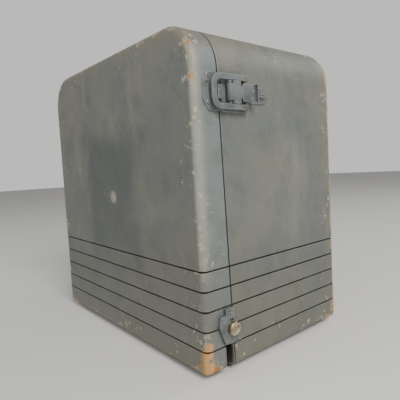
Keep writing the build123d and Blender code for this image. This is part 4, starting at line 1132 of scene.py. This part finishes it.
def meter_marks():
    """The meter's arc, scale lines and numbers, printed on its card."""
    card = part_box("meter_scale")[0].y
    needle_height = UNDERSIDE + 286 * MM
    spot = (0.0, card - 0.1 * MM, needle_height)
    fine = small_bar("fine_mark", 0.35 * MM, 0.2 * MM, 2.2 * MM)
    broad = small_bar("broad_mark", 0.6 * MM, 0.2 * MM, 4.0 * MM)
    arc = small_bar("arc_piece", 0.9 * MM, 0.2 * MM, 0.5 * MM)
    values = {"Start": -TURN / 2, "Sweep": TURN, "Centre": spot, "Material": INK}
    marks = [
        grown("meter_fine", RING, {**values, "Piece": fine, "Count": 51, "Radius": 31.3 * MM}),
        grown("meter_broad", RING, {**values, "Piece": broad, "Count": 11, "Radius": 32.2 * MM}),
        grown("meter_arc", RING, {**values, "Piece": arc, "Count": 72, "Radius": 30 * MM}),
        numbers("meter_numbers", range(6), spot, 25.5 * MM, 4.2 * MM, -TURN / 2, TURN, INK, upright=False),
    ]
    throw_away(fine, broad, arc)
    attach(merged("meter_marks", marks), "case")


def tank_winding():
    """Bare copper wire wound on the plug-in form, in place of its plain sleeve."""
    low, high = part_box("coil_winding")
    middle = (low + high) / 2
    turns, wire, clear = 18, 1.15 * MM, 0.1 * MM
    radius = (high.x - low.x) / 2 - wire - clear
    coil = grown("copper_turns", WINDING, {
        "Turns": turns, "Radius": radius, "Height": high.z - low.z - 2.4 * wire, "Wire": wire,
        "Start": (middle.x, middle.y, low.z + 1.2 * wire), "Material": FINISHES["copper_wire"],
    })
    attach(coil, "case")
    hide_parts("coil_winding")


def louvre_hoods():
    """A pressed hood over each slot of the back."""
    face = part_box("back_panel")[1].y
    long, tall, rise, sheet = 86 * MM, 9 * MM, 4.2 * MM, 0.8 * MM
    column_pitch, row_pitch, lowest = 112 * MM, 22 * MM, UNDERSIDE + 148 * MM
    build = bmesh.new()
    rows = []
    steps, along = 6, 16
    for i in range(along + 1):
        t = -1 + 2 * i / along
        swell = (1 - abs(t) ** 6) ** 0.5
        row = []
        for j in range(steps + 1):
            angle = TURN * j / steps
            y = rise * swell * math.cos(angle)
            z = tall * swell * math.sin(angle)
            row.append((t * long / 2, y, z))
        rows.append(row)
    outer = [[build.verts.new(spot) for spot in row] for row in rows]
    inner = [
        [build.verts.new((x, max(y - sheet, 0.0), max(z - sheet, 0.0))) for x, y, z in row] for row in rows
    ]
    for i in range(along):
        for j in range(steps):
            build.faces.new((outer[i][j], outer[i + 1][j], outer[i + 1][j + 1], outer[i][j + 1]))
            build.faces.new((inner[i][j], inner[i][j + 1], inner[i + 1][j + 1], inner[i + 1][j]))
        build.faces.new((outer[i][0], inner[i][0], inner[i + 1][0], outer[i + 1][0]))
        build.faces.new((outer[i + 1][steps], inner[i + 1][steps], inner[i][steps], outer[i][steps]))
    bmesh.ops.remove_doubles(build, verts=build.verts[:], dist=0.02 * MM)
    hood = keep("hood", build, smooth=True)
    hoods = grown("louvre_hoods", GRID, {
        "Piece": hood, "Columns": 3, "Rows": 9, "Across": (column_pitch, 0, 0), "Up": (0, 0, row_pitch),
        "Start": (-column_pitch, face, lowest), "Jitter": 0.0, "Seed": 1,
        "Material": FINISHES["back_enamel"],
    })
    throw_away(hood)
    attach(hoods, "case")


def core_sheets():
    """The transformer's core as a stack of thin sheets, in place of its plain block."""
    low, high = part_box("transformer_core")
    size = high - low
    count, shrunk, filled = 46, 0.7 * MM, 0.86
    pitch = size.y / count
    sheet = small_bar("core_sheet", size.x - shrunk, pitch * filled, size.z - shrunk, soft=0.12)
    middle = (low + high) / 2
    stack = grown("core_sheets", GRID, {
        "Piece": sheet, "Columns": 1, "Rows": count, "Across": (0, 0, 0), "Up": (0, pitch, 0),
        "Start": (middle.x, low.y + pitch / 2, middle.z), "Jitter": 0.0, "Seed": 7,
        "Material": FINISHES["laminations"],
    })
    throw_away(sheet)
    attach(stack, "case")
    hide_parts("transformer_core")


def post_knurls():
    """Fine ribs round the caps of the two binding posts."""
    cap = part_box("antenna_posts")[0].y
    post_places, post_height = (108 * MM, 142 * MM), UNDERSIDE + 318 * MM
    count = 33
    rib = small_bar("rib", 0.7 * MM, 2.6 * MM, 0.7 * MM)
    rings = []
    for x in post_places:
        for start in (cap + 2.2 * MM, cap + 6.0 * MM):
            rings.append(grown("knurl_ring", RING, {
                "Piece": rib, "Count": count, "Start": 0.0, "Sweep": math.tau * (count - 1) / count,
                "Radius": 5.75 * MM, "Centre": (x, start + 1.0 * MM, post_height),
                "Material": FINISHES["brass"],
            }))
    throw_away(rib)
    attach(merged("post_knurls", rings), "case")


# Each valve: distance right of the middle, depth from the cover's front, glass radius and height.
VALVES = (
    (-112 * MM, 150 * MM, 25 * MM, 104 * MM),
    (-128 * MM, 106 * MM, 17 * MM, 60 * MM),
    (34 * MM, 176 * MM, 22 * MM, 92 * MM),
)
VALVE_FOOT = UNDERSIDE + 111 * MM


def valve_insides():
    """Mica spacers and support rods inside each bulb."""
    spacers = []
    for x, depth, radius, height in VALVES:
        y = FRONT + depth
        for share in (0.1, 0.7):
            rim, edge = radius * 0.6, radius * 0.56
            mica = turned("mica", ((edge, 0.0), (rim, 0.2 * MM), (edge, 0.5 * MM)))
            spacers.append(shifted(mica, (x, y, VALVE_FOOT + height * share)))
        for side in (-1, 1):
            for reach in (0.3, 0.52):
                rod = turned("rod", ((0.5 * MM, 3 * MM), (0.5 * MM, height * 0.74)), segments=8)
                spacers.append(shifted(rod, (x + side * radius * reach, y, VALVE_FOOT)))
    for piece in spacers:
        piece.data.materials.append(FINISHES["ceramic"])
    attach(merged("valve_spacers", spacers), "case")


def leather_grip():
    """Stitched leather rolled round the handle's bar, in place of the plain roll."""
    low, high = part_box("handle_grip")
    middle = (low + high) / 2
    half, radius = (high.x - low.x) / 2, (high.z - low.z) / 2
    build = bmesh.new()
    rings = []
    around, along = 40, 72
    for i in range(along + 1):
        t = -1 + 2 * i / along
        end = (1 - abs(t) ** 14) ** 0.5
        swell = 1 - 0.05 * math.cos(t * math.pi * 4) ** 2 * (1 - t * t) - 0.02 * abs(t)
        ring = []
        for j in range(around):
            angle = math.tau * j / around
            seam = max(0.0, math.cos(angle + TURN)) ** 24
            crease = 0.012 * math.sin(angle * 3 + t * 19) * math.sin(t * 41 + angle)
            reach = radius * (0.3 + 0.66 * end) * (swell + crease - 0.07 * seam)
            ring.append(build.verts.new((
                middle.x + t * half, middle.y + reach * math.cos(angle), middle.z + reach * math.sin(angle)
            )))
        rings.append(ring)
    for one, two in zip(rings, rings[1:]):
        for j in range(around):
            build.faces.new((one[j], one[(j + 1) % around], two[(j + 1) % around], two[j]))
    build.faces.new(rings[0])
    build.faces.new(rings[-1])
    grip = keep("leather_grip", build, FINISHES["handle_leather"], smooth=True)
    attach(grip, "handle")
    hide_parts("handle_grip")
    stitch = small_bar("stitch", 2.6 * MM, 0.7 * MM, 0.7 * MM, soft=0.35)
    rows = grown("grip_stitches", GRID, {
        "Piece": stitch, "Columns": 22, "Rows": 2, "Across": (3.9 * MM, 0, 0), "Up": (0, 3.4 * MM, 0),
        "Start": (middle.x - 41 * MM, middle.y - 1.7 * MM, middle.z - radius * 0.93), "Jitter": 0.12 * MM,
        "Seed": 3, "Material": stitched_thread(),
    })
    throw_away(stitch)
    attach(rows, "handle")


dials()
meter_marks()
tank_winding()
louvre_hoods()
core_sheets()
post_knurls()
valve_insides()
leather_grip()

# ---------------------------------------------------------------- floor, light and camera
FLOOR_REACH = 6.0


def pale_floor():
    """A plain round floor."""
    mesh = bpy.data.meshes.new("studio_floor")
    build = bmesh.new()
    bmesh.ops.create_circle(build, cap_ends=True, segments=96, radius=FLOOR_REACH)
    build.to_mesh(mesh)
    build.free()
    floor = bpy.data.objects.new("studio_floor", mesh)
    bpy.context.scene.collection.objects.link(floor)
    material, tree, shader, point = new_material("studio_floor", Specular_IOR_Level=0.2)
    soft = noise(tree, point, 3.0)
    colour = tint(tree, soft, srgb(238, 237, 234), srgb(244, 243, 240))
    join(tree, shader, Base_Color=colour, Roughness=fade(tree, soft, 0.0, 1.0, 0.7, 0.8))
    mesh.materials.append(material)


def soft_light(name, place, target, width, height, power, colour=(1.0, 1.0, 1.0)):
    """A rectangular soft box aimed at a point."""
    data = bpy.data.lights.new(name, "AREA")
    data.shape, data.size, data.size_y = "RECTANGLE", width, height
    data.energy, data.color = power, colour
    light = bpy.data.objects.new(name, data)
    bpy.context.scene.collection.objects.link(light)
    light.location = place
    light.rotation_euler = (Vector(target) - Vector(place)).to_track_quat("-Z", "Y").to_euler()


def studio():
    """A soft key high on the right, a weak wide fill from the left and an even pale room."""
    middle = (0.0, 0.0, 0.2)
    soft_light("key_light", (1.7, -0.5, 1.5), middle, 0.9, 0.9, 40.0, (1.0, 0.985, 0.95))
    soft_light("fill_light", (-1.2, -2.0, 1.1), middle, 1.6, 1.2, 11.0, (0.95, 0.97, 1.0))
    soft_light("back_light", (0.8, 1.9, 1.7), middle, 1.4, 1.0, 12.0)
    world = bpy.data.worlds.new("pale_room")
    bpy.context.scene.world = world
    world.use_nodes = True
    tree = world.node_tree
    room = tree.nodes["Background"]
    room.inputs["Color"].default_value = (0.85, 0.845, 0.835, 1.0)
    seen = add(tree, "ShaderNodeLightPath").outputs["Is Camera Ray"]
    tree.links.new(lerp(tree, seen, 0.36, 0.86), room.inputs["Strength"])


CAMERA_PLACE = Vector((553.97, -385.83, 247.46)) * MM
CAMERA_AZIMUTH = math.radians(48.138)
CAMERA_DIP = math.radians(4.164)
CAMERA_ROLL = math.radians(2.832)
SENSOR = 36.0
LENS = 36.34
CAMERA_SHIFT = (-0.0813, -0.0200)


def build_camera():
    """The camera near the right front corner, a little above the middle and slightly rolled."""
    turn, dip = CAMERA_AZIMUTH, CAMERA_DIP
    ahead = Vector((-math.sin(turn) * math.cos(dip), math.cos(turn) * math.cos(dip), -math.sin(dip)))
    level = Vector((math.cos(turn), math.sin(turn), 0.0))
    down = ahead.cross(level)
    right = level * math.cos(CAMERA_ROLL) + down * math.sin(CAMERA_ROLL)
    under = down * math.cos(CAMERA_ROLL) - level * math.sin(CAMERA_ROLL)
    data = bpy.data.cameras.new("camera")
    data.sensor_width, data.lens = SENSOR, LENS
    data.shift_x, data.shift_y = CAMERA_SHIFT
    data.clip_start, data.clip_end = 0.02, 50.0
    camera = bpy.data.objects.new("camera", data)
    bpy.context.scene.collection.objects.link(camera)
    facing = Matrix((right, -under, -ahead)).transposed()
    camera.matrix_world = Matrix.Translation(CAMERA_PLACE) @ facing.to_4x4()
    bpy.context.scene.camera = camera


pale_floor()
studio()
build_camera()

# ---------------------------------------------------------------- finish
bpy.context.view_layer.update()
